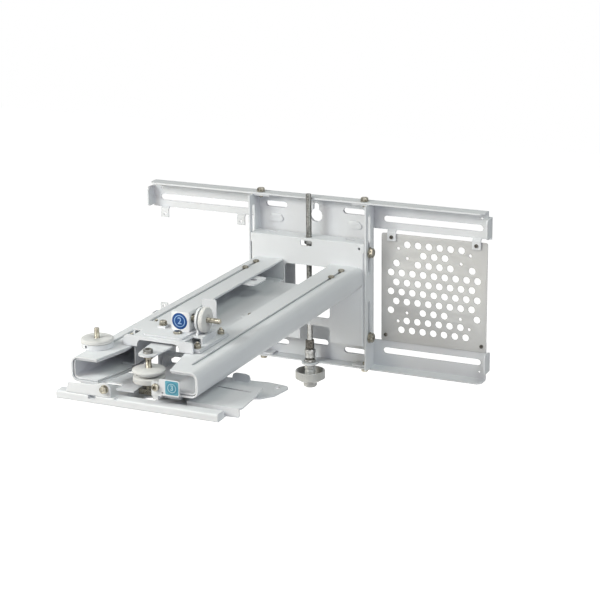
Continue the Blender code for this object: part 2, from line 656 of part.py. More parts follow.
def arm_channel(name, end):
    """Outer arm: a C of sheet, open towards the middle, with a long guide slot on top."""
    rear = -COLUMN_DEPTH - GAP
    section = channel_section(ARM_HALF, ARM_INNER, ARM_TOP, ARM_TOP - ARM_HEIGHT, ARM_WALL, ARM_BEND, end)
    body = sheet(section, [], "Y", ARM_FRONT, rear)
    guide = slot((end * SLOT_X, SLOT_FRONT), (end * SLOT_X, SLOT_REAR), SLOT_WIDTH, 4)
    cuts = [sheet(guide, [], "Z", ARM_TOP - 5 * MM, ARM_TOP + 5 * MM)]
    corner = [(end * (ARM_INNER - 3 * MM), ARM_FRONT - 1 * MM), (end * (ARM_INNER + 12 * MM), ARM_FRONT - 1 * MM),
              (end * (ARM_INNER - 3 * MM), ARM_FRONT + 70 * MM)]
    cuts.append(sheet(corner, [], "Z", ARM_TOP - ARM_HEIGHT - 5 * MM, ARM_TOP + 5 * MM))
    if end < 0:
        boss = sheet(circle(lock_centre(), 2.8 * MM, 16), [], "Z", ARM_TOP - 5 * MM, ARM_TOP + 5 * MM)
        cuts.append(boss)
    piece(name, "powder_coat", body, [], cuts)


def slide_top():
    return ARM_TOP - ARM_WALL - NEST_GAP


def slide_bottom():
    return ARM_TOP - ARM_HEIGHT + ARM_WALL + NEST_GAP


def slide_channel(name, end):
    """Inner channel that slides in the arm and carries the floor plate and the head."""
    outer = ARM_HALF - ARM_WALL - NEST_GAP
    bend = ARM_BEND - ARM_WALL / 2 - NEST_GAP - SLIDE_WALL / 2
    section = channel_section(outer, ARM_INNER + 3 * MM, slide_top(), slide_bottom(), SLIDE_WALL, bend, end)
    body = sheet(section, [], "Y", ARM_FRONT + 2 * MM, SLIDE_REAR)
    joins = []
    corner = [(end * (ARM_INNER - 1 * MM), ARM_FRONT - 1 * MM), (end * (ARM_INNER + 13 * MM), ARM_FRONT - 1 * MM),
              (end * (ARM_INNER - 1 * MM), ARM_FRONT + 66 * MM)]
    cuts = [sheet(corner, [], "Z", slide_bottom() - 3 * MM, slide_top() + 3 * MM)]
    holes = [sheet(circle((end * SLOT_X, y), 1.9 * MM, 12), [], "Z", slide_top() - 5 * MM, slide_top() + 1 * MM)
             for y in guide_screw_places()]
    cuts.append(together(holes))
    if end < 0:
        lug = rounded((-ARM_INNER - 8 * MM, -152 * MM), (-18 * MM, -114 * MM), 7 * MM)
        square = rounded((-37 * MM, -134 * MM), (-27 * MM, -124 * MM), 1 * MM, 1)
        joins.append(sheet(lug, [], "Z", slide_top() - SLIDE_WALL, slide_top() - 0.01 * MM))
        cuts.append(sheet(square, [], "Z", slide_top() - 5 * MM, slide_top() + 5 * MM))
    piece(name, "powder_coat", body, joins, cuts)


def guide_screw_places():
    first = SLOT_REAR - 3 * MM
    return (first, first - SCREW_SPACING)


def guide_screws():
    """Four screws of the slide channels that run in the arms' slots."""
    seat = ARM_TOP + GAP
    reach = seat - slide_top() + SLIDE_WALL + 2 * MM
    profile = shift(screw_profile(4.4 * MM, 2.4 * MM, 1.8 * MM, reach, 1), seat)
    for end, way in ((-1, "left"), (1, "right")):
        for y, place in zip(guide_screw_places(), ("rear", "front")):
            piece(f"guide_screw_{place}_{way}", "screw_steel", turned(profile, "Z", (end * SLOT_X, y), 12))


def floor_plate():
    """Flat floor on the slide channels' lower flanges, with a dimple and its screw."""
    low = slide_bottom() + SLIDE_WALL + GAP
    half = ARM_INNER + 18 * MM
    outline = rounded((-half, FLOOR_FRONT), (half, FLOOR_REAR), 5 * MM)
    centre = (5 * MM, -214 * MM)
    dimple = turned([(0, low + 0.4 * MM), (13 * MM, low + 0.4 * MM), (13 * MM, low + FLOOR_WALL * 0.9),
                     (9 * MM, low + FLOOR_WALL + 1 * MM), (0, low + FLOOR_WALL + 1 * MM)], "Z", centre, 12)
    hole = sheet(circle(centre, 1.9 * MM, 12), [], "Z", low - 5 * MM, low + 8 * MM)
    long_hole = sheet(slot((-14 * MM, -312 * MM), (20 * MM, -312 * MM), 7 * MM), [], "Z",
                      low - 5 * MM, low + 8 * MM)
    piece("floor_plate", "powder_coat", sheet(outline, [], "Z", low, low + FLOOR_WALL), [dimple],
          [hole, long_hole])
    seat = low + FLOOR_WALL + 1 * MM + GAP
    profile = shift(screw_profile(3 * MM, 1.8 * MM, 1.5 * MM, 4 * MM, 1), seat)
    piece("floor_plate_screw", "screw_steel", turned(profile, "Z", centre, 12))


def lock_centre():
    return (-70 * MM, -457 * MM)


def slide_lock():
    """Round hand nut on the left arm that clamps the slide, with its stud."""
    centre = lock_centre()
    base = ARM_TOP + GAP
    seat = base + 6 * MM
    radius = LOCK_RADIUS
    pad = turned([(0, base), (radius, base), (radius, seat), (0, seat)], "Z", centre, 28)
    hole = sheet(circle(centre, STUD_RADIUS + 0.3 * MM, 16), [], "Z", base - 1 * MM, seat + 1 * MM)
    side_hole = sheet(circle((centre[0] - 4 * MM, base + 3.6 * MM), 1.7 * MM, 12), [], "Y",
                      centre[1] - 24 * MM, centre[1] - 10 * MM)
    piece("slide_lock_base", "powder_coat", pad, [], [hole, side_hole])
    low = seat + GAP
    top = low + 4.6 * MM
    bore = STUD_RADIUS + 0.3 * MM
    piece("slide_lock_nut", "dial_plastic",
          tube([(bore, low), (radius, low), (radius, top - 1.2 * MM), (radius - 1.4 * MM, top), (bore, top)],
               "Z", centre, 28), origin=(*centre, 0))
    piece("slide_lock_stud", "screw_steel",
          turned([(0, base), (3.2 * MM, base), (3.2 * MM, top + 10.4 * MM), (2.4 * MM, top + 11.2 * MM),
                  (0, top + 11.2 * MM)], "Z", centre, 12))


# Bridge

def hanger_low():
    return slide_bottom() + SLIDE_WALL + GAP


def ear_top():
    return ARM_TOP + 0.6 * MM + BRIDGE_WALL


def bridge_hanger(name, end):
    """Bracket that stands on a slide channel's lower flange and reaches up past the arm."""
    middle = BRIDGE_WALL / 2
    out = end * FOOT_OUT[end]
    section = bent_strip([(out, hanger_low() + middle), (end * HANGER_CHEEK_X, hanger_low() + middle),
                          (end * HANGER_CHEEK_X, ear_top() - middle), (out, ear_top() - middle)],
                         BRIDGE_WALL, 2 * MM, 3)
    body = sheet(section, [], "Y", BRIDGE_FRONT + 5 * MM, BRIDGE_REAR)
    holes = [sheet(circle((end * FOOT_SCREW_X[end], y), foot_shank() + 0.3 * MM, 12), [], "Z",
                   ear_top() - 5 * MM, ear_top() + 2 * MM) for y in foot_screw_places()]
    piece(name, "powder_coat", body, [], [together(holes)])


def foot_shank():
    return 1.7 * MM


def foot_screw_places():
    return (BRIDGE_FRONT + 10 * MM, BRIDGE_REAR - 9 * MM)


def bridge_bracket():
    """Top plate over the gap with an arched front lip, side flanges and screwed feet."""
    low = BRIDGE_TOP - BRIDGE_WALL
    foot = ear_top() + GAP
    narrow = HANGER_CHEEK_X
    front = BRIDGE_FRONT
    rear = BRIDGE_REAR
    outline = [(-narrow, rear), (-narrow, rear - 19 * MM), (-BRIDGE_HALF, rear - 19 * MM),
               (-BRIDGE_HALF, front + 24 * MM), (-narrow, front + 24 * MM), (-narrow, front + 1 * MM),
               (narrow, front + 1 * MM), (narrow, front + 24 * MM), (BRIDGE_HALF, front + 24 * MM),
               (BRIDGE_HALF, rear - 19 * MM), (narrow, rear - 19 * MM), (narrow, rear)]
    swivel = circle((HEAD_X, SWIVEL_Y), swivel_pin_radius() + GAP, 16)
    top = sheet(outline, [swivel], "Z", low, BRIDGE_TOP)
    arch_top = low - 2 * MM
    lip_low = ARM_TOP + 0.6 * MM
    lip = ([(-BRIDGE_HALF, lip_low)] + arc((-BRIDGE_HALF + 5 * MM, BRIDGE_TOP - 5 * MM), 5 * MM, 180, 90, 4)
           + arc((BRIDGE_HALF - 3 * MM, BRIDGE_TOP - 3 * MM), 3 * MM, 90, 0, 3) + [(BRIDGE_HALF, lip_low)]
           + [(narrow - 6 * MM, lip_low)] + arc((narrow - 12 * MM, arch_top - 6 * MM), 6 * MM, 0, 90, 4)
           + arc((-narrow + 12 * MM, arch_top - 6 * MM), 6 * MM, 90, 180, 4) + [(-narrow + 6 * MM, lip_low)])
    joins = [sheet(lip, [], "Y", front, front + 3 * MM)]
    for end in (-1, 1):
        wing = bent_strip([(end * narrow, BRIDGE_TOP - 1 * MM), (end * (BRIDGE_HALF - 1 * MM), BRIDGE_TOP - 1 * MM),
                           (end * (BRIDGE_HALF - 1 * MM), foot)], BRIDGE_WALL, 2.5 * MM, 3)
        joins.append(sheet(wing, [], "Y", front + 24 * MM, rear - 19 * MM))
        across = sorted((end * (narrow + 1.5 * MM), end * FOOT_OUT[end]))
        strip = rounded((across[0], front + 4 * MM), (across[1], rear), 3 * MM)
        joins.append(sheet(strip, [], "Z", foot, foot + BRIDGE_WALL))
    anchor = arc((DIAL_Y, DIAL_Z), DIAL_RADIUS - 0.4 * MM, -52, 232, 24)
    anchor += [(DIAL_Y - 11 * MM, low + 0.5 * MM), (DIAL_Y + 11 * MM, low + 0.5 * MM)]
    joins.append(sheet(anchor, [], "X", anchor_x(), anchor_x() + 2.5 * MM))
    fence = rounded((anchor_x() - 15 * MM, low + 0.5 * MM), (anchor_x() + 3 * MM, 73 * MM), 3 * MM)
    joins.append(sheet(fence, [], "Y", rear - 3 * MM, rear - 1 * MM))
    holes = [sheet(circle((end * FOOT_SCREW_X[end], y), foot_shank() + 0.3 * MM, 12), [], "Z",
                   foot - 1 * MM, foot + 5 * MM) for end in (-1, 1) for y in foot_screw_places()]
    shaft = sheet(circle((DIAL_Y, DIAL_Z), STUD_RADIUS + 0.3 * MM, 16), [], "X",
                  anchor_x() - 5 * MM, anchor_x() + 8 * MM)
    piece("bridge_bracket", "powder_coat", top, joins, [together(holes), shaft])
    profile = shift([(0, -4.4 * MM), (foot_shank(), -4.4 * MM), (foot_shank(), 0), (4.4 * MM, 0),
                     (4.4 * MM, 1.2 * MM), (3.6 * MM, 1.2 * MM, "hex"), (3.6 * MM, 4.4 * MM, "hex"),
                     (2.2 * MM, 4.6 * MM), (2.2 * MM, 7 * MM), (0, 7 * MM)], foot + BRIDGE_WALL + GAP)
    for end, way in ((-1, "left"), (1, "right")):
        for y, place in zip(foot_screw_places(), ("front", "rear")):
            piece(f"bridge_screw_{place}_{way}", "screw_steel", turned(profile, "Z", (end * FOOT_SCREW_X[end], y), 12))


def anchor_x():
    return HEAD_X + 30.5 * MM


def swivel_pin_radius():
    return 5 * MM


# Swivel stage

def swivel_stage():
    """Plate on the bridge with the dial's upright block, and its pin down to the yoke."""
    low = BRIDGE_TOP + GAP
    top = low + 2 * MM
    outline = rounded((HEAD_X - 26 * MM, -436 * MM), (HEAD_X + 25 * MM, SWIVEL_Y + 9 * MM), 3 * MM)
    bore = circle((HEAD_X, SWIVEL_Y), swivel_pin_radius() + GAP, 16)
    plate = sheet(outline, [circle((HEAD_X + 11 * MM, -420 * MM), 3 * MM, 12)], "Z", low, top)
    face = rounded((HEAD_X - 2 * MM, top - 0.01 * MM), (HEAD_X + 21.5 * MM, 68.5 * MM), 2 * MM)
    upright = sheet(face, [], "Y", DIAL_Y - 9 * MM, DIAL_Y + 9 * MM)
    post_top = top + 2.5 * MM
    post_centre = (HEAD_X - 16 * MM, DIAL_Y - 3 * MM)
    post = block((post_centre[0] - 5 * MM, post_centre[1] - 5 * MM, top - 0.01 * MM),
                 (post_centre[0] + 5 * MM, post_centre[1] + 5 * MM, post_top))
    post_bore = sheet(circle(post_centre, 2.6 * MM, 16), [], "Z", low - 1 * MM, post_top + 1 * MM)
    pocket = sheet(circle((DIAL_Y, DIAL_Z), STUD_RADIUS + 2 * MM, 12), [], "X",
                   HEAD_X + 12 * MM, HEAD_X + 26 * MM)
    pin_hole = sheet(bore, [], "Z", low - 3 * MM, top + 3 * MM)
    piece("swivel_plate", "powder_coat", plate, [upright, post], [pocket, pin_hole, post_bore],
          origin=(HEAD_X, SWIVEL_Y, 0))
    profile = hex_profile(top, 1, 9 * MM, 2.5 * MM, 1.8 * MM)
    piece("swivel_plate_bolt", "screw_steel", turned(profile, "Z", (HEAD_X + 11 * MM, -420 * MM), 12))
    profile = hex_profile(post_top, 1, 7.6 * MM, 4 * MM, 4 * MM, 1 * MM)
    piece("swivel_post_bolt", "screw_steel", turned(profile, "Z", post_centre, 12))


def swivel_yoke():
    """Pin through the bridge and the yoke below it, with the tongue that holds the tilt stud."""
    middle = 1 * MM
    yoke_top = BRIDGE_TOP - BRIDGE_WALL - YOKE_DROP
    half = EAR_SPREAD + 2.5 * MM
    section = bent_strip([(HEAD_X - half, -3 * MM), (HEAD_X - half, yoke_top - middle),
                          (HEAD_X + half, yoke_top - middle), (HEAD_X + half, -3 * MM)], 2 * MM, 3 * MM, 3)
    body = sheet(section, [], "Y", TILT_Y - 14 * MM, SWIVEL_Y + 12 * MM)
    tongue = ([(HEAD_X - 15 * MM, TILT_Y + 1 * MM), (HEAD_X - 15 * MM, TILT_Y - 40 * MM)]
              + arc((HEAD_X, STUD_Y), 11 * MM, 180, 360, 12)
              + [(HEAD_X + 15 * MM, TILT_Y - 40 * MM), (HEAD_X + 15 * MM, TILT_Y + 1 * MM)])
    tongue_sheet = sheet(tongue, [], "Z", yoke_top - 2 * MM, yoke_top - 0.01 * MM)
    washer = sheet(circle((HEAD_X, SWIVEL_Y), 10 * MM, 16), [], "Z", yoke_top - 1 * MM,
                   yoke_top + YOKE_DROP - 0.4 * MM)
    pin = turned([(0, yoke_top - 4 * MM), (swivel_pin_radius(), yoke_top - 4 * MM),
                  (swivel_pin_radius(), BRIDGE_TOP + 3.4 * MM), (swivel_pin_radius() - 1 * MM, BRIDGE_TOP + 4.4 * MM),
                  (0, BRIDGE_TOP + 4.4 * MM)], "Z", (HEAD_X, SWIVEL_Y), 12)
    pin_bore = sheet(circle((HEAD_X, SWIVEL_Y), swivel_pin_radius() + GAP, 16), [], "Z",
                     yoke_top - 5 * MM, yoke_top + YOKE_DROP + 3 * MM)
    stud_bore = sheet(circle((HEAD_X, STUD_Y), STUD_RADIUS + 0.3 * MM, 12), [], "Z",
                      yoke_top - 5 * MM, yoke_top + 5 * MM)
    pivot = sheet(circle((TILT_Y, TILT_Z), PIN_RADIUS + GAP, 12), [], "X",
                  HEAD_X - half - 6 * MM, HEAD_X + half + 6 * MM)
    piece("swivel_yoke", "powder_coat", body, [tongue_sheet, washer], [pin_bore, stud_bore, pivot],
          origin=(HEAD_X, SWIVEL_Y, 0))
    piece("swivel_pin", "screw_steel", pin, origin=(HEAD_X, SWIVEL_Y, 0))
    reach = half + 1.6 * MM
    piece("tilt_pin", "screw_steel",
          turned([(0, HEAD_X - reach), (PIN_RADIUS, HEAD_X - reach), (PIN_RADIUS, HEAD_X + reach),
                  (0, HEAD_X + reach)], "X", (TILT_Y, TILT_Z), 12))


def swivel_dial():
    """Thumb dial on the bridge's upright disc, on a stud that runs into the block."""
    start = anchor_x() + 2.5 * MM + 1.6 * MM
    end = start + 6.2 * MM
    inner = STUD_RADIUS + GAP
    centre = (DIAL_Y, DIAL_Z)
    piece("swivel_dial", "dial_plastic",
          tube([(inner, start), (DIAL_RADIUS - 1 * MM, start), (DIAL_RADIUS, start + 1 * MM),
                (DIAL_RADIUS, end - 1.6 * MM), (DIAL_RADIUS - 1.6 * MM, end), (inner, end)], "X", centre, 28),
          origin=(0, DIAL_Y, DIAL_Z))
    tip = HEAD_X + 15 * MM
    stop = end + 16 * MM
    radius = STUD_RADIUS - 0.3 * MM
    piece("swivel_stud", "screw_steel",
          turned([(0, tip), (radius, tip), (radius, stop - 1 * MM), (radius - 0.8 * MM, stop), (0, stop)],
                 "X", centre, 12), origin=(0, DIAL_Y, DIAL_Z))


def tilt_dial():
    """Tilt stud with its two discs and the nut on top of the tongue."""
    centre = (HEAD_X, STUD_Y)
    yoke_top = BRIDGE_TOP - BRIDGE_WALL - YOKE_DROP
    seat = yoke_top + GAP
    radius = STUD_RADIUS
    inner = radius + GAP
    nut_low = yoke_top - 2 * MM - GAP - 4.6 * MM
    nut = sheet(circle(centre, 5.6 * MM, 20), [circle(centre, inner, 12)], "Z", seat, seat + 4.6 * MM)
    piece("tilt_stud_nut", "screw_steel", nut, origin=(*centre, 0))
    piece("tilt_stud", "screw_steel",
          turned([(0, -14 * MM), (radius - 0.6 * MM, -14 * MM), (radius, -13.3 * MM), (radius, nut_low),
                  (4.8 * MM, nut_low, "hex"), (4.8 * MM, nut_low + 4.4 * MM, "hex"), (radius, nut_low + 4.4 * MM),
                  (radius, seat + 3.4 * MM), (0, seat + 3.4 * MM)], "Z", centre, 12), origin=(*centre, 0))
    piece("tilt_disc", "dial_plastic",
          tube([(inner, 10.2 * MM), (13 * MM, 10.2 * MM), (DISC_RADIUS - 0.6 * MM, 13.8 * MM),
                (DISC_RADIUS, 15 * MM), (DISC_RADIUS, 16.6 * MM), (DISC_RADIUS - 1.8 * MM, 18.2 * MM),
                (inner, 18.6 * MM)], "Z", centre, 28), origin=(*centre, 0))
    piece("tilt_dial", "dial_plastic",
          tube([(inner, 2.2 * MM), (DISC_RADIUS - 1.8 * MM, 2.2 * MM), (DISC_RADIUS - 0.8 * MM, 3 * MM),
                (DISC_RADIUS - 0.8 * MM, 8.2 * MM), (DISC_RADIUS - 1.6 * MM, 9 * MM), (inner, 9 * MM)],
               "Z", centre, 28), origin=(*centre, 0))


# Tilt stage

def tilt_stage():
    """Plate hung on the tilt pin, open at the front for the stud, with roll ears below."""
    low = TILT_PLATE_TOP - TILT_PLATE_WALL
    top = TILT_PLATE_TOP
    fork = 11.5 * MM
    outline = ([(TILT_PLATE_LEFT, TILT_PLATE_REAR), (TILT_PLATE_LEFT, TILT_PLATE_FRONT),
                (HEAD_X - fork, TILT_PLATE_FRONT)]
               + arc((HEAD_X, STUD_Y + 8 * MM), fork, 180, 0, 10)
               + [(HEAD_X + fork, TILT_PLATE_FRONT), (TILT_PLATE_RIGHT, TILT_PLATE_FRONT),
                  (TILT_PLATE_RIGHT, TILT_PLATE_REAR)])
    ear = ([(TILT_Y - 12 * MM, low + 0.5 * MM), (TILT_Y + 12 * MM, low + 0.5 * MM)]
           + arc((TILT_Y, TILT_Z), 6 * MM, 0, 180, 8))
    joins = []
    for end in (-1, 1):
        x = HEAD_X + end * EAR_SPREAD
        joins.append(sheet(ear, [], "X", x - 1 * MM, x + 1 * MM))
    hang = ([(HEAD_X - 7 * MM, low + 0.5 * MM)] + arc((HEAD_X, ROLL_Z), roll_ear_radius(), 180, 360, 8)
            + [(HEAD_X + 7 * MM, low + 0.5 * MM)])
    for y in roll_ear_places():
        joins.append(sheet(hang, [], "Y", y - 1 * MM, y + 1 * MM))
    pivot = sheet(circle((TILT_Y, TILT_Z), PIN_RADIUS + GAP, 12), [], "X",
                  HEAD_X - 40 * MM, HEAD_X + 40 * MM)
    roll_bore = sheet(circle((HEAD_X, ROLL_Z), roll_pin_radius() + GAP, 12), [], "Y",
                      roll_ear_places()[0] - 5 * MM, roll_ear_places()[1] + 5 * MM)
    piece("tilt_plate", "powder_coat", sheet(outline, [], "Z", low, top), joins, [pivot, roll_bore],
          origin=(0, TILT_Y, TILT_Z))
    piece("tilt_trunnion", "screw_steel",
          sheet(rounded((HEAD_X - fork + GAP, STUD_Y - 6 * MM), (HEAD_X + fork - GAP, STUD_Y + 6 * MM), 1.5 * MM, 2),
                [circle((HEAD_X, STUD_Y), STUD_RADIUS + 1.5 * MM, 12)], "Z", top - 6 * MM, top))
    ends = (roll_ear_places()[0] - 4 * MM, roll_ear_places()[1] + 8 * MM)
    radius = roll_pin_radius()
    piece("roll_pin", "screw_steel",
          turned([(0, ends[0]), (radius, ends[0]), (radius, ends[1]), (0, ends[1])], "Y", (HEAD_X, ROLL_Z), 12))
    base = top + GAP
    front = ARM_FRONT - 5 * MM
    left = HEAD_X + DISC_RADIUS + 2.4 * MM
    wing = rounded((left + 10 * MM, 1 * MM), (left + 35 * MM, 19.5 * MM), 2 * MM)
    foot = [(front + 1.6 * MM, 2 * MM), (front + 1.6 * MM, base), (front + 26 * MM, base),
            (front + 26 * MM, base + 2.4 * MM), (front + 3.8 * MM, base + 2.4 * MM), (front + 3.8 * MM, 2 * MM)]
    bore = sheet(circle(roll_screw_centre(), 2.6 * MM, 16), [], "Y", front - 4 * MM, front + 40 * MM)
    small = sheet(circle((left + 14.5 * MM, 3.6 * MM), 1.4 * MM, 12), [], "Y", front - 6 * MM, front + 6 * MM)
    piece("roll_bracket", "powder_coat",
          block((left, front, -0.6 * MM), (left + 12.5 * MM, front + 4 * MM, 14.5 * MM)),
          [sheet(wing, [], "Y", front - 0.5 * MM, front + 1.5 * MM),
           sheet(foot, [], "X", left + 0.4 * MM, left + 7 * MM)], [bore, small])
    head = front - 0.5 * MM - GAP
    profile = [(0, front + 7 * MM), (2.3 * MM, front + 7 * MM), (2.3 * MM, head), (4.4 * MM, head),
               (4.4 * MM, head - 3 * MM), (3.9 * MM, head - 3.4 * MM), (2 * MM, head - 3.4 * MM),
               (2 * MM, head - 1.2 * MM), (0, head - 1.2 * MM)]
    piece("roll_screw", "screw_steel", turned(profile, "Y", roll_screw_centre(), 12),
          origin=(roll_screw_centre()[0], 0, roll_screw_centre()[1]))


def roll_screw_centre():
    return (HEAD_X + DISC_RADIUS + 8.6 * MM, 9.6 * MM)


def roll_ear_places():
    return (-452 * MM, -404 * MM)


def roll_ear_radius():
    return roll_pin_radius() + 1.3 * MM


def roll_pin_radius():
    return 2.4 * MM


# Projector plate

def projector_plate():
    """Plate that takes the projector: boxed front rim, raised deck on the right, rear ear."""
    low = PLATE_TOP - PLATE_WALL
    ear = ([(PLATE_RIGHT - 2 * MM, -424 * MM), (118 * MM, -419 * MM), (129 * MM, -405 * MM)]
           + arc((124 * MM, -378 * MM), 9 * MM, -10, 80, 4) + [(104 * MM, -366 * MM), (88 * MM, PLATE_REAR)])
    outline = ([(PLATE_LEFT + 0.4 * MM, PLATE_FRONT + 5 * MM), (PLATE_RIGHT - 0.4 * MM, PLATE_FRONT + 5 * MM)]
               + ear + [(-60 * MM, PLATE_REAR), (PLATE_LEFT + 0.4 * MM, -410 * MM)])
    holes = [circle((121 * MM, -380 * MM), 3.4 * MM, 16), circle((HEAD_X, STUD_Y), 8 * MM, 20),
             slot((-70 * MM, -440 * MM), (-46 * MM, -440 * MM), 7 * MM),
             slot((-70 * MM, -396 * MM), (-46 * MM, -396 * MM), 7 * MM)]
    rim = sheet(rounded((PLATE_FRONT, low - 0.2 * MM), (PLATE_FRONT + RIM_DEPTH, RIM_TOP), 2 * MM, 3), [], "X",
                PLATE_LEFT, PLATE_RIGHT)
    deck = ([(DECK_LEFT, DECK_REAR), (DECK_LEFT, DECK_FRONT)]
            + arc((DECK_RIGHT - 4 * MM, DECK_FRONT + 4 * MM), 4 * MM, 270, 360, 4)
            + [(DECK_RIGHT - 3 * MM, -446 * MM), (DECK_RIGHT - 8 * MM, DECK_REAR)])
    trough = slot((69 * MM, -429 * MM), (112 * MM, -432 * MM), 3.4 * MM, 4)
    lip = rounded((DECK_LEFT + 0.3 * MM, PLATE_TOP - 0.5 * MM), (DECK_RIGHT - 2 * MM, DECK_TOP - 0.3 * MM),
                  1.5 * MM, 2)
    tail = rounded((61 * MM, low + 0.5 * MM), (84 * MM, PLATE_TOP + 9.5 * MM), 5 * MM)
    joins = [rim, sheet(deck, [trough], "Z", DECK_TOP - PLATE_WALL, DECK_TOP),
             sheet(lip, [], "Y", DECK_FRONT - 0.2 * MM, DECK_FRONT + 1.8 * MM),
             block((DECK_LEFT - 0.2 * MM, DECK_FRONT + 0.2 * MM, low + 0.5 * MM),
                   (DECK_LEFT + 1.8 * MM, DECK_REAR - 0.3 * MM, DECK_TOP - 0.3 * MM)),
             sheet(tail, [], "Y", PLATE_REAR - 8 * MM, PLATE_REAR - 6 * MM)]
    hang = ([(HEAD_X + 7 * MM, low + 0.5 * MM)] + arc((HEAD_X, ROLL_Z), roll_ear_radius(), 0, 180, 8)
            + [(HEAD_X - 7 * MM, low + 0.5 * MM)])
    for y in roll_ear_places():
        joins.append(sheet(hang, [], "Y", y + 2 * MM, y + 4 * MM))
    bore = sheet(circle((HEAD_X, ROLL_Z), roll_pin_radius() + GAP, 12), [], "Y",
                 roll_ear_places()[0] - 5 * MM, roll_ear_places()[1] + 8 * MM)
    notch = block((-56 * MM, PLATE_FRONT - 1 * MM, RIM_TOP - 4 * MM),
                  (-46 * MM, PLATE_FRONT + 5 * MM, RIM_TOP + 1 * MM))
    dip = sheet(circle((-21 * MM, RIM_TOP), 2 * MM, 12), [], "Y", PLATE_FRONT - 1 * MM, PLATE_FRONT + 6 * MM)
    piece("projector_plate", "powder_coat", sheet(outline, holes, "Z", low, PLATE_TOP), joins,
          [bore, notch, dip], origin=(HEAD_X, 0, ROLL_Z))
    base = RIM_TOP + GAP
    front = PLATE_FRONT + 0.5 * MM
    centre = (-34 * MM, -1.6 * MM)
    face = ([(-85 * MM, base), (-27 * MM, base)] + arc(centre, 7 * MM, 0, 100, 6)
            + [(-50 * MM, 1.6 * MM), (-82 * MM, 0.4 * MM)])
    piece("front_bracket", "powder_coat",
          sheet(face, [circle(centre, 2.8 * MM, 12)], "Y", front, front + 2 * MM))
    profile = hex_profile(front, -1, 8 * MM, 4 * MM, 2 * MM, 1 * MM)
    piece("front_bracket_bolt", "screw_steel", turned(profile, "Y", centre, 12))


def main():
    clear_scene()
    rail("wall_rail_top", 1)
    rail("wall_rail_bottom", -1)
    device_plate()
    column_frame()
    lift_screw()
    lift_carriage()
    arm_channel("arm_channel_left", -1)
    arm_channel("arm_channel_right", 1)
    slide_channel("slide_channel_left", -1)
    slide_channel("slide_channel_right", 1)
    guide_screws()
    floor_plate()
    slide_lock()
    bridge_hanger("bridge_hanger_left", -1)
    bridge_hanger("bridge_hanger_right", 1)
    bridge_bracket()
    swivel_stage()
    swivel_yoke()
    swivel_dial()
    tilt_dial()
    tilt_stage()
    projector_plate()
    for thing in bpy.data.objects:
        thing.location.z -= ORIGIN_HEIGHT


main()
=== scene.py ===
# %% [markdown]
# # A white projector wall mount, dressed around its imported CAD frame
#
# The CAD model already says where every piece sits and which way it moves. This lesson
# loads it as a fixed frame and gives it the looks of the real thing: powder-coated steel
# sheet with softly rolled edges, zinc bolts, a threaded rod and ribbed pale dials.

# %% Load the frame and keep its box
import json
import math

import bmesh
import bpy
from mathutils import Matrix, Vector


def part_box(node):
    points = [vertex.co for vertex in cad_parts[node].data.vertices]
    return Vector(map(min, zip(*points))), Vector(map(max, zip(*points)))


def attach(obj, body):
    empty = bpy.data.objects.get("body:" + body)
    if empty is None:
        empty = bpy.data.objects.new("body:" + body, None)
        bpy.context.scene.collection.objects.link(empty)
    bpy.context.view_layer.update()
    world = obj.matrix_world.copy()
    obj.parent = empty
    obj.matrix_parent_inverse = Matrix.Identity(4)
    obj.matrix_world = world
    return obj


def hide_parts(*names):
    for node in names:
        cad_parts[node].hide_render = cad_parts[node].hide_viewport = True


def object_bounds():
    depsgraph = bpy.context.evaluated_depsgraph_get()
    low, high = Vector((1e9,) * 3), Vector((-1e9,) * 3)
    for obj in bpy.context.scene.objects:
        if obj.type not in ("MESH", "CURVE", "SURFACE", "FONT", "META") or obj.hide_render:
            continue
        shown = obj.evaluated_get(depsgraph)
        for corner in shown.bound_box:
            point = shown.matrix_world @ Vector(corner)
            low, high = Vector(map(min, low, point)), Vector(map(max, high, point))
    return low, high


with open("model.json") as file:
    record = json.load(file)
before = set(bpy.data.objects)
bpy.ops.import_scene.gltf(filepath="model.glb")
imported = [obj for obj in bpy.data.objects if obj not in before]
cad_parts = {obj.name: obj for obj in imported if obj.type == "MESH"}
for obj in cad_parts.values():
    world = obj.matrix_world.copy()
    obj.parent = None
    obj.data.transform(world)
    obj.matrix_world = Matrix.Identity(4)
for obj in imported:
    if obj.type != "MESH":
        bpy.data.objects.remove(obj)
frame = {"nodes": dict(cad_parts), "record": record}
nodes = frame["nodes"]
record = frame["record"]
MM = 0.001
FULL_TURN = 2 * math.pi
cad_box = [[float(value) for value in corner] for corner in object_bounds()]
print("CAD box", cad_box)

# %% Which body and which finish slot each CAD node has
bodies = record["behaviour"]["bodies"]
body_of = {name: body for body, names in bodies.items() for name in names}
slot_of = {row["node"]: row["material_slot"] for row in record["subparts"]}

# %% [markdown]
# ## Shader maths that reads like Python
#
# A node tree is a chain of small sums, and wiring each one by hand hides what it says. One
# small class wraps a socket and overloads the operators, so `1 - mask` adds the Math node
# by itself. Anything that isn't plain arithmetic comes from `node`.


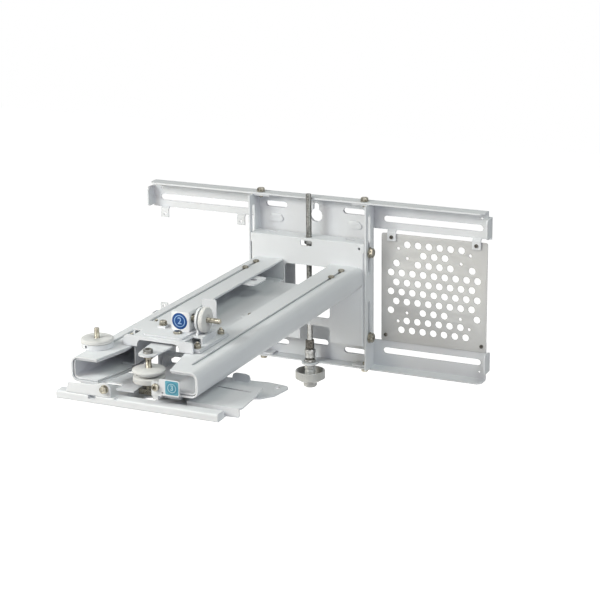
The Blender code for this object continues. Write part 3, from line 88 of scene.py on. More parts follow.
# %% A socket that can be added and multiplied
class Wire:
    """A shader socket; arithmetic on it adds Math nodes to its tree."""

    def __init__(self, tree, socket):
        self.tree, self.socket = tree, socket

    def node(self, kind, settings=None, out=0, **feeds):
        return node(self.tree, kind, settings, out, **feeds)

    def maths(self, operation, *values):
        return self.node("Math", {"operation": operation},
                         **{f"_{place}": value for place, value in enumerate(values)})

    def __add__(self, other):
        return self.maths("ADD", self, other)

    def __radd__(self, other):
        return self.maths("ADD", other, self)

    def __sub__(self, other):
        return self.maths("SUBTRACT", self, other)

    def __rsub__(self, other):
        return self.maths("SUBTRACT", other, self)

    def __mul__(self, other):
        return self.maths("MULTIPLY", self, other)

    def __rmul__(self, other):
        return self.maths("MULTIPLY", other, self)

    def above(self, edge, soft):
        """0 below the edge, 1 above it, with a soft step."""
        return self.node("MapRange", {"interpolation_type": "SMOOTHSTEP"}, Value=self,
                         From_Min=edge - soft, From_Max=edge + soft)

    def blend(self, low, high):
        """A colour between two colours; this socket is the factor."""
        return self.node("Mix", {"data_type": "RGBA"}, out=2, _0=self, _6=low, _7=high)


def feed(tree, socket, value):
    """Links a wire to a socket, or sets the socket to a plain value."""
    if isinstance(value, Wire):
        tree.links.new(value.socket, socket)
    elif isinstance(value, (tuple, list)) and socket.type == "RGBA" and len(value) == 3:
        socket.default_value = (*value, 1.0)
    else:
        socket.default_value = value


def node(tree, kind, settings=None, out=0, **feeds):
    """Any node: its settings first, then its sockets by name or by _number."""
    made = tree.nodes.new("ShaderNode" + kind)
    for name, value in (settings or {}).items():
        setattr(made, name, value)
    for name, value in feeds.items():
        key = int(name[1:]) if name[0] == "_" else name.replace("_", " ")
        feed(tree, made.inputs[key], value)
    return Wire(tree, made.outputs[out])


print("a wire can be added, subtracted and multiplied from either side")


# %% A new material, its noise and its bump
def new_material(name, **constants):
    """A new material, its shader with those plain values, and the object's coordinates."""
    made = bpy.data.materials.new(name)
    made.use_nodes = True
    shader = made.node_tree.nodes["Principled BSDF"]
    for key, value in constants.items():
        feed(made.node_tree, shader.inputs[key.replace("_", " ")], value)
    return made, shader, node(made.node_tree, "TexCoord", out=3)


def grain(place, cells, detail=2.0, stretch=(1, 1, 1)):
    """Noise with so many cells a metre; it may be drawn out along an axis."""
    spread = place.node("Mapping", Vector=place, Scale=Vector(stretch))
    return place.node("TexNoise", Vector=spread, Scale=cells, Detail=detail, Roughness=0.55)


def paint(shader, **looks):
    """Feeds what changes over the surface: colour, roughness or metal."""
    for key, value in looks.items():
        feed(value.tree, shader.inputs[key.replace("_", " ")], value)


def bump(shader, height, strength, distance):
    """Sends a height to the shader's normal."""
    relief = height.node("Bump", Strength=strength, Distance=distance, Height=height)
    feed(height.tree, shader.inputs["Normal"], relief)


print("shader helpers ready")

# %% [markdown]
# ## Powder coat
#
# The sheet parts are sprayed with powder and baked, which leaves a satin white skin with a
# very fine orange peel. An image could carry that, but noise in the object's own
# coordinates needs no unwrapping and keeps its scale. Noise at about one cell a
# millimetre gives the relief, and a slower noise clouds both gloss and tint, so that broad
# faces don't look flat. A clean new coat has no scratches, only a few faint grey specks.

# %% Powder coat, and a darker copy for the perforated plate that also paints in its recess's shade
CLOUD_CELLS, PEEL_CELLS, SPECK_CELLS = 26, 900, 2600
SPECK_EDGE, SPECK_GREY, SPECK_SHARE = 0.69, 0.84, 0.35
PEEL_HEIGHT = 0.12 * MM


def powder_coat(name, pale, dull, roughness=0.46):
    made, shader, place = new_material(name, Specular_IOR_Level=0.42)
    clouds = grain(place, CLOUD_CELLS, 3.0)
    peel = grain(place, PEEL_CELLS)
    specks = grain(place, SPECK_CELLS, 1.0).above(SPECK_EDGE, 0.03)
    speck_grey = tuple(value * SPECK_GREY for value in dull)
    cloudy = clouds.blend(dull, pale)
    paint(shader, Base_Color=(specks * SPECK_SHARE).blend(cloudy, speck_grey),
          Roughness=clouds * 0.12 + peel * 0.08 + (roughness - 0.1))
    bump(shader, peel, strength=0.16, distance=PEEL_HEIGHT)
    return made


coat = powder_coat("coat_white", pale=(0.68, 0.70, 0.73), dull=(0.635, 0.655, 0.685))
# The plate's coat is darker than the white coat. Part of that is a greyer tone, and part is painted
# shade of the plate's recess behind the rails.
plate_coat_painted_shade = powder_coat("coat_plate_painted_shade", pale=(0.545, 0.548, 0.55), dull=(0.475, 0.478, 0.48),
                         roughness=0.5)
print("coats", coat.name, plate_coat_painted_shade.name)

# %% [markdown]
# ## Zinc and darker steel
#
# The bolts are plated with zinc, which is only slightly warm, and the lift screw's parts
# are plain, bright or blackened steel. All are metals, so their colour sits in Base Color
# with Metallic near one. Turned lines come from noise that is drawn out along the axis, and
# small dark stains break up the shine and are a little less metallic.

# %% Metals
STAIN_CELLS, LINE_CELLS = 320, 420
STAIN_EDGE, LINE_HEIGHT = 0.56, 0.05 * MM


def metal(name, bright, stained, roughness, drawn_out):
    made, shader, place = new_material(name)
    stains = grain(place, STAIN_CELLS, 3.0).above(STAIN_EDGE, 0.12)
    lines = grain(place, LINE_CELLS, 1.0, (1, 1, drawn_out))
    paint(shader, Base_Color=stains.blend(bright, stained), Metallic=1 - stains * 0.12,
          Roughness=stains * 0.16 + lines * 0.1 + (roughness - 0.05))
    bump(shader, lines, strength=0.12, distance=LINE_HEIGHT)
    return made


zinc = metal("zinc_warm", (0.37, 0.35, 0.295), (0.13, 0.118, 0.09), 0.28, 7)
rod_steel = metal("steel_rod", (0.25, 0.25, 0.24), (0.12, 0.12, 0.115), 0.34, 9)
nut_steel = metal("steel_bright", (0.40, 0.40, 0.39), (0.22, 0.215, 0.205), 0.30, 5)
dark_steel = metal("steel_blackened", (0.125, 0.117, 0.103), (0.04, 0.037, 0.032), 0.34, 3)
print("metals", [made.name for made in (zinc, rod_steel, nut_steel, dark_steel)])

# %% [markdown]
# ## Moulded dials and printed labels
#
# The dials are moulded in a neutral white plastic, a little darker and shinier than the
# coat, and the lift knob in a greyer one. Fingers leave faint marks on both, which a slow
# noise draws as patches with an edge. The number labels are thin film with a flat ink,
# whose colour is slightly uneven, as print is.

# %% Dial plastic and inks
MARK_CELLS, PORE_CELLS = 90, 1500
MARK_EDGE, PORE_HEIGHT = 0.6, 0.06 * MM
SCREEN_CELLS, PATCH_CELLS = 2200, 260
SCREEN_HEIGHT = 0.02 * MM


def moulded(name, pale, handled):
    made, shader, place = new_material(name, Specular_IOR_Level=0.5)
    marks = grain(place, MARK_CELLS, 3.0).above(MARK_EDGE, 0.16)
    pores = grain(place, PORE_CELLS)
    paint(shader, Base_Color=(marks * 0.5).blend(pale, handled), Roughness=marks * 0.14 + 0.34)
    bump(shader, pores, strength=0.1, distance=PORE_HEIGHT)
    return made


def ink(name, full, thin):
    made, shader, place = new_material(name, Specular_IOR_Level=0.3)
    screen = grain(place, SCREEN_CELLS)
    patches = grain(place, PATCH_CELLS)
    paint(shader, Base_Color=(screen * 0.5 + patches * 0.5).blend(full, thin),
          Roughness=patches * 0.12 + 0.28)
    bump(shader, screen, strength=0.05, distance=SCREEN_HEIGHT)
    return made


dial_white = moulded("plastic_dial", (0.61, 0.615, 0.61), (0.52, 0.525, 0.52))
knob_grey = moulded("plastic_knob", (0.47, 0.47, 0.46), (0.39, 0.39, 0.38))
film_white = ink("film_white", (0.78, 0.79, 0.80), (0.73, 0.74, 0.75))
print("plastics and film", dial_white.name, knob_grey.name, film_white.name)

# %% [markdown]
# ## Finishes on the CAD pieces
#
# The sheet pieces have the right shape already, so they stay and only gain a finish and a
# soft edge. Drawing them again could round the edges too, but modifiers leave the solids as
# they are: Weld closes the mesh that the file split up, and a narrow Bevel gives each cut
# edge the roundness that catches a highlight.

# %% Which finish goes where, and soft edges
SLOT_FINISH = {"coat": coat, "screw_steel": zinc, "dark_steel": rod_steel,
               "dial_coat": dial_white}
EDGE_WIDTH, EDGE_STEPS, EDGE_ANGLE = 0.35 * MM, 2, math.radians(38)
WELD_REACH = 0.002 * MM


def dress(thing, finish):
    thing.data.materials.clear()
    thing.data.materials.append(finish)


def soften(thing):
    """Closes a CAD mesh and rounds its sharp edges."""
    weld = thing.modifiers.new("weld", "WELD")
    weld.merge_threshold = WELD_REACH
    edge = thing.modifiers.new("edge", "BEVEL")
    edge.width, edge.segments = EDGE_WIDTH, EDGE_STEPS
    edge.limit_method, edge.angle_limit = "ANGLE", EDGE_ANGLE
    edge.harden_normals = True
    edge.use_clamp_overlap = True


for name, thing in nodes.items():
    dress(thing, SLOT_FINISH[slot_of[name]])
    if slot_of[name] == "coat":
        soften(thing)
dress(nodes["tilt_pin"], coat)
print("dressed", len(nodes), "CAD pieces")

# %% [markdown]
# ## Turned pieces
#
# Bolts, nuts, studs and dials are all turned: a side view is swept round an axis. Each is
# a stack of rings along +Z. A hexagon is only a ring whose reach is cut off by six flats,
# and where a cone meets those flats the chamfer gets its curved edges by itself, which a
# six-sided cylinder with a bevel wouldn't give.


# %% Rings swept round an axis
def hexagon_reach(flats, angle):
    """Distance from the axis to a hexagon's side, for a size over its flats."""
    off_middle = (angle + math.pi / 6) % (math.pi / 3) - math.pi / 6
    return flats / 2 / math.cos(off_middle)


def ring(reach, height, flats=None, ribs=0, depth=0.0):
    """One ring of a turned piece: its reach as a function of the angle, and its height."""
    def at(angle):
        distance = reach - depth * (0.5 - 0.5 * math.cos(ribs * angle))
        return min(distance, hexagon_reach(flats, angle)) if flats else distance
    return (at if reach else None, height)


def turned(rings, sides=48, hollow=False):
    """A mesh of stacked rings; a reach of 0 closes an end, hollow joins last to first."""
    mesh = bmesh.new()
    angles = [FULL_TURN * step / sides for step in range(sides)]
    loops = []
    for at, height in rings:
        if at is None:
            loops.append([mesh.verts.new((0, 0, height))])
        else:
            loops.append([mesh.verts.new((at(angle) * math.cos(angle),
                                          at(angle) * math.sin(angle), height))
                          for angle in angles])
    for below, over in zip(loops, loops[1:] + loops[:1] if hollow else loops[1:]):
        join_loops(mesh, below, over)
    return mesh


def join_loops(mesh, below, over):
    """Faces between two loops of the same count, or between a loop and a point."""
    for step in range(max(len(below), len(over))):
        corners = [below[step % len(below)], below[(step + 1) % len(below)],
                   over[(step + 1) % len(over)], over[step % len(over)]]
        mesh.faces.new(list(dict.fromkeys(corners)))


print("turning helpers ready")

# %% [markdown]
# ## Putting a piece in its place
#
# A turned mesh is built upright at the origin. It is then stood along the axis of the CAD
# solid it stands for, and rides on the same body, so it moves with its joint. Its place
# could be typed in, but the CAD node's box gives it, which keeps the piece exactly where
# the solid is.

# %% Standing a mesh along an axis, and making it a piece
AXES = {"x": 0, "y": 1, "z": 2}
UP = Vector((0, 0, 1))
SHARP_ANGLE = math.radians(32)


def stand(mesh, centre, axis="z", away=1):
    """Turns a mesh that was built along +Z to stand at a point, along an axis."""
    direction = Vector([away if place == AXES[axis] else 0 for place in range(3)])
    turn = UP.rotation_difference(direction).to_matrix().to_4x4()
    mesh.transform(Matrix.Translation(centre) @ turn)
    return mesh


def piece(name, mesh, finish, like, replaces=True):
    """A shown piece on the body of the CAD node it is like."""
    bmesh.ops.recalc_face_normals(mesh, faces=mesh.faces)
    data = bpy.data.meshes.new(name)
    mesh.to_mesh(data)
    mesh.free()
    data.shade_smooth()
    data.set_sharp_from_angle(angle=SHARP_ANGLE)
    thing = bpy.data.objects.new(name, data)
    bpy.context.scene.collection.objects.link(thing)
    dress(thing, finish)
    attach(thing, body_of[like])
    if replaces:
        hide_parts(like)


def measure(like, axis="z"):
    """A CAD node's length along an axis, and its least width across it."""
    low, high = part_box(like)
    sizes = [high[place] - low[place] for place in range(3)]
    tall = sizes.pop(AXES[axis])
    return tall, min(sizes)


def foot(like, axis="z", away=1):
    """The end point of a CAD node's centre line from which it stands away."""
    low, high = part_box(like)
    point = (low + high) / 2
    point[AXES[axis]] = (low if away > 0 else high)[AXES[axis]]
    return point


def stand_in(name, mesh, finish, like, axis="z", away=1, replaces=True):
    """A turned mesh as a piece, stood where the CAD solid that it is like stands."""
    piece(name, stand(mesh, foot(like, axis, away), axis, away), finish, like, replaces)


print("lift rod's foot", [round(value, 4) for value in foot("lift_rod")])

# %% [markdown]
# ## Hexagon bolts
#
# Hexagon bolts hold the column on the rails, lock the lift and close the head. The head
# has a chamfer that leaves a round top with a shallow dish, and most sit on a washer. Each
# could be cut from a cylinder, but rings give head, washer and shank in one closed mesh.

# %% A bolt from its shank's end up
WASHER_EDGE = 0.25 * MM
DISH_EDGE, DISH_DEEP = 0.3 * MM, 0.35 * MM
CHAMFER_STEPS = (0.35, 0.7, 1.0)


def corner_of(flats):
    """A hexagon's reach at its corners, for a size over its flats."""
    return flats / 2 / math.cos(math.pi / 6)


def hexagon_bolt(flats, washer, head, shank, length, stud=0.0):
    """A bolt whose seat is at that length; a stud may go on above its head."""
    rings = [ring(0, 0), ring(shank * 0.82, 0), ring(shank, shank * 0.2), ring(shank, length)]
    top = length + washer
    if washer:
        rim = flats * 0.63
        rings += [ring(rim - WASHER_EDGE, length), ring(rim, length + WASHER_EDGE),
                  ring(rim, top - WASHER_EDGE), ring(rim - WASHER_EDGE, top)]
    corner = corner_of(flats)
    rings += [ring(flats * 0.48, top), ring(corner, top + head * 0.1, flats),
              ring(corner, top + head * 0.8, flats)]
    for step in CHAMFER_STEPS:
        reach = corner + (flats * 0.46 - corner) * step
        rings.append(ring(reach, top + head * (0.8 + 0.2 * step), flats))
    top += head
    if stud:
        rings += [ring(shank, top), ring(shank, top + stud - shank * 0.3),
                  ring(shank * 0.75, top + stud), ring(0, top + stud)]
    else:
        rings += [ring(flats * 0.36, top), ring(flats * 0.3, top - DISH_EDGE),
                  ring(0, top - DISH_DEEP)]
    return turned(rings)


print("a 10 mm hexagon is", round(2 * corner_of(10), 2), "mm over its corners")

# %% [markdown]
# A table says which way each bolt stands, how much of it lies above its seat and how thick
# its washer is. The lock bolts on the left have low heads, as the column hides them there.

# %% Every hexagon bolt
RAIL_BOLT = (5.0 * MM, 1.0 * MM)
LOCK_BOLT = (6.1 * MM, 1.6 * MM)
GUIDE_SCREW = (2.4 * MM, 0.8 * MM)
BOLTS = {
    "swivel_plate_bolt": ("z", 1, 4.3 * MM, 0.0),
    "swivel_post_bolt": ("z", 1, *RAIL_BOLT),
    "front_bracket_bolt": ("y", -1, *RAIL_BOLT),
}
for end, way in (("left", -1), ("right", 1)):
    BOLTS[f"rail_bolt_top_{end}"] = ("z", 1, *RAIL_BOLT)
    BOLTS[f"rail_bolt_bottom_{end}"] = ("z", -1, *RAIL_BOLT)
    for level in ("upper", "lower"):
        BOLTS[f"lock_bolt_{level}_{end}"] = ("x", way, *LOCK_BOLT)
    for level in ("front", "rear"):
        BOLTS[f"guide_screw_{level}_{end}"] = ("z", 1, *GUIDE_SCREW)
LOW_HEADS, LOW_HEAD = ("lock_bolt_upper_left", "lock_bolt_lower_left"), 2.2 * MM
WASHER_TO_FLATS = 1.28
WIDEST_SHANK = 3.3 * MM

for name, (axis, away, proud, washer) in BOLTS.items():
    tall, across = measure(name, axis)
    buried = tall - proud
    flats = across / WASHER_TO_FLATS if washer else across
    if name in LOW_HEADS:
        proud, washer = LOW_HEAD, 0.0
    shank = min(flats * 0.29, WIDEST_SHANK)
    mesh = hexagon_bolt(flats, washer, proud - washer, shank, buried)
    stand_in(name + "_hexagon", mesh, zinc, name, axis, away)
print(len(BOLTS), "hexagon bolts")

# %% [markdown]
# ## Nuts on the bridge's feet
#
# Four studs come up through the bridge's feet, each with a washer and a nut, and the end
# of the stud stands above the nut. That is the same bolt with a short stud on its head.

# %% Nuts with the stud's end
NUT_PROUD, NUT_WASHER = 7.0 * MM, 0.9 * MM
STUD_END, STUD_REACH = 2.4 * MM, 1.9 * MM
for end in ("left", "right"):
    for level in ("front", "rear"):
        name = f"bridge_screw_{level}_{end}"
        tall, across = measure(name)
        mesh = hexagon_bolt(across / WASHER_TO_FLATS, NUT_WASHER,
                            NUT_PROUD - NUT_WASHER - STUD_END, STUD_REACH,
                            tall - NUT_PROUD, STUD_END)
        stand_in(name + "_nut", mesh, zinc, name)
print("bridge nuts ready")

# %% [markdown]
# ## Socket screws
#
# The roll screw, the plate screws and the floor's screw have a round head with a hexagon
# socket. The socket is a real hole in the mesh, because its shadow is what tells the eye
# that this is a socket and not a rivet.


# %% A round head with a socket
def socket_screw(reach, head, shank, length, socket, depth):
    """A round head on a shank of that length, with a hexagon socket of that depth."""
    top = length + head
    return turned([
        ring(0, 0), ring(shank * 0.8, 0), ring(shank, shank * 0.2), ring(shank, length),
        ring(reach, length), ring(reach, top - head * 0.35), ring(reach * 0.9, top - head * 0.1),
        ring(reach * 0.78, top), ring(socket * 0.62, top, socket * 1.06),
        ring(socket * 0.6, top - 0.2 * MM, socket), ring(socket * 0.6, top - depth, socket),
        ring(0, top - depth - 0.3 * MM)])


print("socket screws can be turned")

# %% Roll screw and floor screw: axis, way, head, shank, socket and its depth
SOCKET_SCREWS = {
    "roll_screw": ("roll_screw_socket", "y", -1, 3.4 * MM, 2.2 * MM, 4.2 * MM, 2.6 * MM),
    "floor_plate_screw": ("floor_screw_socket", "z", 1, 1.8 * MM, 1.5 * MM, 2.2 * MM, 1.1 * MM),
}
for like, (name, axis, away, head, shank, socket, depth) in SOCKET_SCREWS.items():
    tall, across = measure(like, axis)
    mesh = socket_screw(across / 2, head, shank, tall - head, socket, depth)
    stand_in(name, mesh, zinc, like, axis, away)
print(len(SOCKET_SCREWS), "socket screws")

# %% [markdown]
# ## Threads
#
# A thread is a groove that winds up the shank. A Screw modifier could sweep one, but here
# the height of each point decides how deep it lies, and the phase shifts by one pitch a
# turn, so plain rings of points give a true helix that closes at both ends. The ends are
# chamfered, as a rolled thread's are. The lift rod's lower part is plain and brighter.


# %% The rings of a thread
def groove(reach, height, pitch, depth, chamfer):
    """The reach of one ring of a thread at any angle."""
    def at(angle):
        phase = (height / pitch - angle / FULL_TURN) % 1
        return min(reach - depth * (1 - abs(2 * phase - 1)), chamfer)
    return at


def thread_rings(reach, low, high, pitch):
    """Rings that carry a helical groove from one height to another."""
    depth = pitch * 0.5
    count = max(2, round((high - low) / pitch * 4))
    rings = []
    for row in range(count + 1):
        height = low + (high - low) * row / count
        chamfer = reach - depth * 1.2 + min(height - low, high - height)
        rings.append((groove(reach, height, pitch, depth, chamfer), height))
    return rings


print("a turn of thread has 4 rings")

# %% Rod and plain studs: axis, finish, pitch and the length without thread
COARSE_PITCH, FINE_PITCH = 1.25 * MM, 1.0 * MM
EDGE = 0.4 * MM
STUDS = {"lift_rod": ("z", rod_steel, COARSE_PITCH, 72 * MM),
         "slide_lock_stud": ("z", zinc, FINE_PITCH, 0.0),
         "swivel_stud": ("x", zinc, FINE_PITCH, 0.0)}
for name, (axis, finish, pitch, plain) in STUDS.items():
    tall, across = measure(name, axis)
    reach = across / 2
    rings = [ring(0, plain)] + thread_rings(reach, plain, tall, pitch) + [ring(0, tall)]
    stand_in(name + "_thread", turned(rings, 16), finish, name, axis)
    if plain:
        end = plain - 0.1 * MM
        rings = [ring(0, 0), ring(reach - EDGE, 0), ring(reach, EDGE),
                 ring(reach, end - 0.5 * MM), ring(reach - EDGE, end), ring(0, end)]
        stand_in(name + "_plain", turned(rings, 32), nut_steel, name, axis, replaces=False)
print("threads on", sorted(STUDS))

# %% [markdown]
# The tilt stud carries a hexagon under the yoke's tongue, and its top end has a socket, so
# its rings go on from the thread into the hexagon and then down into the hole.

# %% Tilt stud
TILT_THREAD = 3.6 * MM
HEXAGON_BELOW_TOP, HEXAGON_TALL, HEXAGON_FACE = 10.6 * MM, 4.4 * MM, 4.4 * MM
SOCKET_REACH, SOCKET_FLATS, SOCKET_DEEP = 2.6 * MM, 4.4 * MM, 3.0 * MM
top, across = measure("tilt_stud")
wide, flats = across / 2 * 1.1, across * 0.97
shoulder = top - HEXAGON_BELOW_TOP
crown = shoulder + HEXAGON_TALL
rings = [ring(0, 0)] + thread_rings(TILT_THREAD, 0, shoulder, COARSE_PITCH) + [
    ring(HEXAGON_FACE, shoulder), ring(wide, shoulder + EDGE, flats),
    ring(wide, crown - EDGE, flats), ring(HEXAGON_FACE, crown),
    ring(TILT_THREAD, crown), ring(TILT_THREAD, top - EDGE), ring(TILT_THREAD - EDGE, top),
    ring(SOCKET_REACH, top, SOCKET_FLATS + 0.2 * MM),
    ring(SOCKET_REACH, top - SOCKET_DEEP, SOCKET_FLATS), ring(0, top - SOCKET_DEEP - EDGE)]
stand_in("tilt_stud_thread", turned(rings, 24), zinc, "tilt_stud")
print("tilt stud", round(top / MM, 1), "mm long")

# %% [markdown]
# ## Nuts
#
# A nut is a bolt's head with a hole: the rings go up outside and come down inside, and the
# last one joins the first, so no hole has to be cut. Both faces have the same chamfer.


# %% A nut round a bore
def hexagon_nut(flats, tall, bore, flange=0.0):
    """A nut of that height; a flange widens its lower face."""
    corner, face = corner_of(flats), flats * 0.47
    cut = (corner - face) * 0.55
    rings = [ring(bore, 0)]
    if flange:
        rings += [ring(flange, 0), ring(flange, tall * 0.2), ring(flange * 0.97, tall * 0.26)]
    else:
        rings += [ring(face, 0, flats), ring(corner, cut, flats)]
    rings += [ring(corner, tall * 0.34, flats), ring(corner, tall - cut, flats),
              ring(flats * 0.5, tall - cut * 0.4, flats), ring(face, tall, flats),
              ring(bore + EDGE, tall), ring(bore, tall - EDGE)]
    return turned(rings, hollow=True)


def nut_piece(name, like, share, bore, finish, flanged=False):
    """A nut in a CAD nut's place, its flats at a share of that nut's width."""
    tall, across = measure(like)
    mesh = hexagon_nut(across * share, tall, bore, across / 2 if flanged else 0.0)
    stand_in(name, mesh, finish, like)


print("nut helpers ready")

# %% Tilt stud's nut and the lift nut
ROD_BORE = 4.1 * MM
nut_piece("tilt_nut_flanged", "tilt_stud_nut", 0.86, TILT_THREAD + 0.2 * MM, rod_steel, True)
nut_piece("lift_nut_hexagon", "lift_nut", 1, ROD_BORE, nut_steel)
print("nuts ready, the rod's bore is", round(2 * ROD_BORE / MM, 1), "mm")

# %% [markdown]
# ## Foot of the lift screw
#
# Below the carriage the rod carries a dark hexagon sleeve, a bright nut with a round skirt
# and a black ring, and passes the lower rail in a bush with a row of small cross holes. A
# cup-shaped knob sits at its foot, with a hexagon shank inside the cup and a bigger
# hexagon under it for a spanner. Each is turned inside its own CAD solid's place.

# %% Sleeve, nut and ring on the rod
SEAL = 1.5 * MM
nut_piece("rod_sleeve_hexagon", "rod_lock_nut", 0.94, ROD_BORE, dark_steel)

tall, across = measure("rod_sleeve")
skirt, flats = across / 2, across * 0.95
rings = [ring(ROD_BORE, SEAL), ring(skirt * 0.84, SEAL), ring(skirt * 0.97, SEAL + 0.9 * MM),
         ring(skirt, SEAL + 2.2 * MM), ring(skirt, tall * 0.52),
         ring(skirt * 0.97, tall * 0.56, flats), ring(skirt * 1.12, tall * 0.6, flats),
         ring(skirt * 1.12, tall - 1.0 * MM, flats), ring(skirt * 0.94, tall, flats),
         ring(ROD_BORE, tall)]
stand_in("rod_nut_skirted", turned(rings, hollow=True), nut_steel, "rod_sleeve")
rings = [ring(ROD_BORE, 0), ring(skirt * 0.86, 0), ring(skirt * 0.92, 0.3 * MM),
         ring(skirt * 0.92, SEAL - 0.3 * MM), ring(skirt * 0.86, SEAL - 0.05 * MM),
         ring(ROD_BORE, SEAL - 0.05 * MM)]
stand_in("rod_ring_black", turned(rings, hollow=True), dark_steel, "rod_sleeve", replaces=False)
print("skirted nut", round(across / MM, 1), "mm across")

# %% [markdown]
# The bush's cross holes are real holes. Six short pins are cut out of it with a Boolean,
# the result is kept as a mesh and the pins are thrown away, so nothing hidden stays behind.


# %% A mesh with other meshes cut from it
def evaluated(thing):
    """The mesh of an object after its modifiers, as a new bmesh; the object goes."""
    shown = thing.evaluated_get(bpy.context.evaluated_depsgraph_get())
    data = bpy.data.meshes.new_from_object(shown)
    mesh = bmesh.new()
    mesh.from_mesh(data)
    bpy.data.meshes.remove(data)
    bpy.data.objects.remove(thing)
    return mesh


def loose_object(name, mesh):
    """An object that isn't a piece: a tool, or the floor."""
    data = bpy.data.meshes.new(name)
    bmesh.ops.recalc_face_normals(mesh, faces=mesh.faces)
    mesh.to_mesh(data)
    mesh.free()
    thing = bpy.data.objects.new(name, data)
    bpy.context.scene.collection.objects.link(thing)
    return thing


def carved(mesh, cutter):
    """The first mesh without what the second one covers."""
    body, tool = loose_object("carving", mesh), loose_object("cutter", cutter)
    cut = body.modifiers.new("cut", "BOOLEAN")
    cut.operation, cut.solver, cut.object = "DIFFERENCE", "EXACT", tool
    result = evaluated(body)
    bpy.data.objects.remove(tool)
    return result


print("cutting helpers ready")

# %% Bush in the lower rail, with its cross holes
SHELF_LOW, SHELF_HIGH = 2.7 * MM, 5.3 * MM
CROSS_HOLES, CROSS_REACH, CROSS_ABOVE_SHELF = 6, 1.0 * MM, 1.9 * MM
tall, across = measure("lift_bush")
wide, neck = across / 2, across / 2 - 1.0 * MM
rings = [ring(ROD_BORE, 0), ring(wide - 0.3 * MM, 0), ring(wide, 0.3 * MM),
         ring(wide, SHELF_LOW - 0.1 * MM), ring(neck, SHELF_LOW), ring(neck, SHELF_HIGH),
         ring(wide, SHELF_HIGH + 0.1 * MM), ring(wide, tall - EDGE), ring(wide - EDGE, tall),
         ring(ROD_BORE, tall)]
pins = bmesh.new()
for step in range(CROSS_HOLES):
    angle = FULL_TURN * (step + 0.35) / CROSS_HOLES
    out = Vector((math.cos(angle), math.sin(angle), 0))
    where = Matrix.Translation(out * wide + UP * (SHELF_HIGH + CROSS_ABOVE_SHELF))
    spin = UP.rotation_difference(out).to_matrix().to_4x4()
    bmesh.ops.create_cone(pins, cap_ends=True, segments=16, radius1=CROSS_REACH,
                          radius2=CROSS_REACH, depth=4.0 * MM, matrix=where @ spin)
bush = carved(turned(rings, hollow=True), pins)
stand_in("lift_bush_drilled", bush, nut_steel, "lift_bush")
nut_piece("rod_collar_hexagon", "rod_collar", 1, ROD_BORE, dial_white)
print("bush has", CROSS_HOLES, "cross holes")

# %% Lift knob: the spanner's hexagon, the cup's wall with its ribs, the cup's inside
SPANNER, SHANK = 16.0 * MM, 12.6 * MM
CUP, CUP_FLOOR, RIM_BELOW_TOP = 9.0 * MM, 1.8 * MM, 1.7 * MM
tall, across = measure("lift_knob")
knob, spanner_corner = across / 2, SPANNER * 0.6
rim = tall - RIM_BELOW_TOP
rings = [ring(0, 0.4 * MM), ring(SPANNER * 0.4, 0.4 * MM), ring(SPANNER * 0.47, 0, SPANNER),
         ring(spanner_corner, 0.7 * MM, SPANNER), ring(spanner_corner, 6.2 * MM, SPANNER),
         ring(9.4 * MM, 6.6 * MM), ring(knob - 6 * MM, CUP - 0.4 * MM),
         ring(knob - 1.8 * MM, CUP + 2.6 * MM)]
wall_low, wall_high = CUP + 3.4 * MM, rim - 0.9 * MM
for share, depth in ((0.0, 0.0), (0.08, 0.3 * MM), (0.9, 0.3 * MM), (1.0, 0.0)):
    height = wall_low + (wall_high - wall_low) * share
    rings.append(ring(knob - 0.15 * MM, height, ribs=40, depth=depth))
rings += [ring(knob - 0.6 * MM, rim - 0.2 * MM), ring(knob - 1.2 * MM, rim),
          ring(knob - 2.0 * MM, rim), ring(knob - 2.5 * MM, rim - 0.5 * MM),
          ring(knob - 3.2 * MM, CUP + 3.0 * MM), ring(knob - 4.4 * MM, CUP + CUP_FLOOR),
          ring(0, CUP + CUP_FLOOR)]
stand_in("lift_knob_cup", turned(rings, 240), knob_grey, "lift_knob")
shank = hexagon_bolt(SHANK, washer=0.0, head=tall - CUP - 2.0 * MM, shank=SHANK * 0.4,
                     length=0.4 * MM)
place = foot("lift_knob") + Vector((0, 0, CUP + 1.6 * MM))
piece("lift_knob_shank", stand(shank, place), dial_white, "lift_knob", replaces=False)
print("knob", round(across / MM, 1), "mm across")

# %% [markdown]
# ## Thumb dials
#
# The swivel dial, the two discs on the tilt stud and the hand nut of the slide lock are
# round discs with a bore. Their rims carry fine ribs for the fingers. A bump in the
# material could fake those, but its outline would stay round, so the ribs are part of the
# rings: the reach goes in and out with the angle while the faces stay flat.

# %% A disc with a ribbed rim
SIDES_PER_RIB = 6


def dial(rows, bore, ribs, depth):
    """A dial round a bore from rows of reach and height, and whether the ribs show there."""
    rings = [ring(reach, height, ribs=ribs, depth=depth * ribbed)
             for reach, height, ribbed in rows]
    rings = [ring(bore, rows[0][1]), *rings, ring(bore, rows[-1][1])]
    return turned(rings, ribs * SIDES_PER_RIB, hollow=True)


print("each rib has", SIDES_PER_RIB, "sides")

# %% Swivel dial and slide lock's hand nut
tall, across = measure("swivel_dial", "x")
wide = across / 2
rows = [(wide - 1.2 * MM, 0, 0), (wide - 0.3 * MM, 0.5 * MM, 0), (wide, 1.1 * MM, 1),
        (wide, tall - 1.5 * MM, 1), (wide - 0.4 * MM, tall - 0.8 * MM, 0),
        (wide - 1.6 * MM, tall - 0.15 * MM, 0), (wide * 0.55, tall, 0),
        (wide * 0.42, tall - 0.1 * MM, 0), (wide * 0.38, tall - 0.7 * MM, 0)]
mesh = dial(rows, bore=3.5 * MM, ribs=72, depth=0.35 * MM)
stand_in("swivel_dial_ribbed", mesh, dial_white, "swivel_dial", "x")

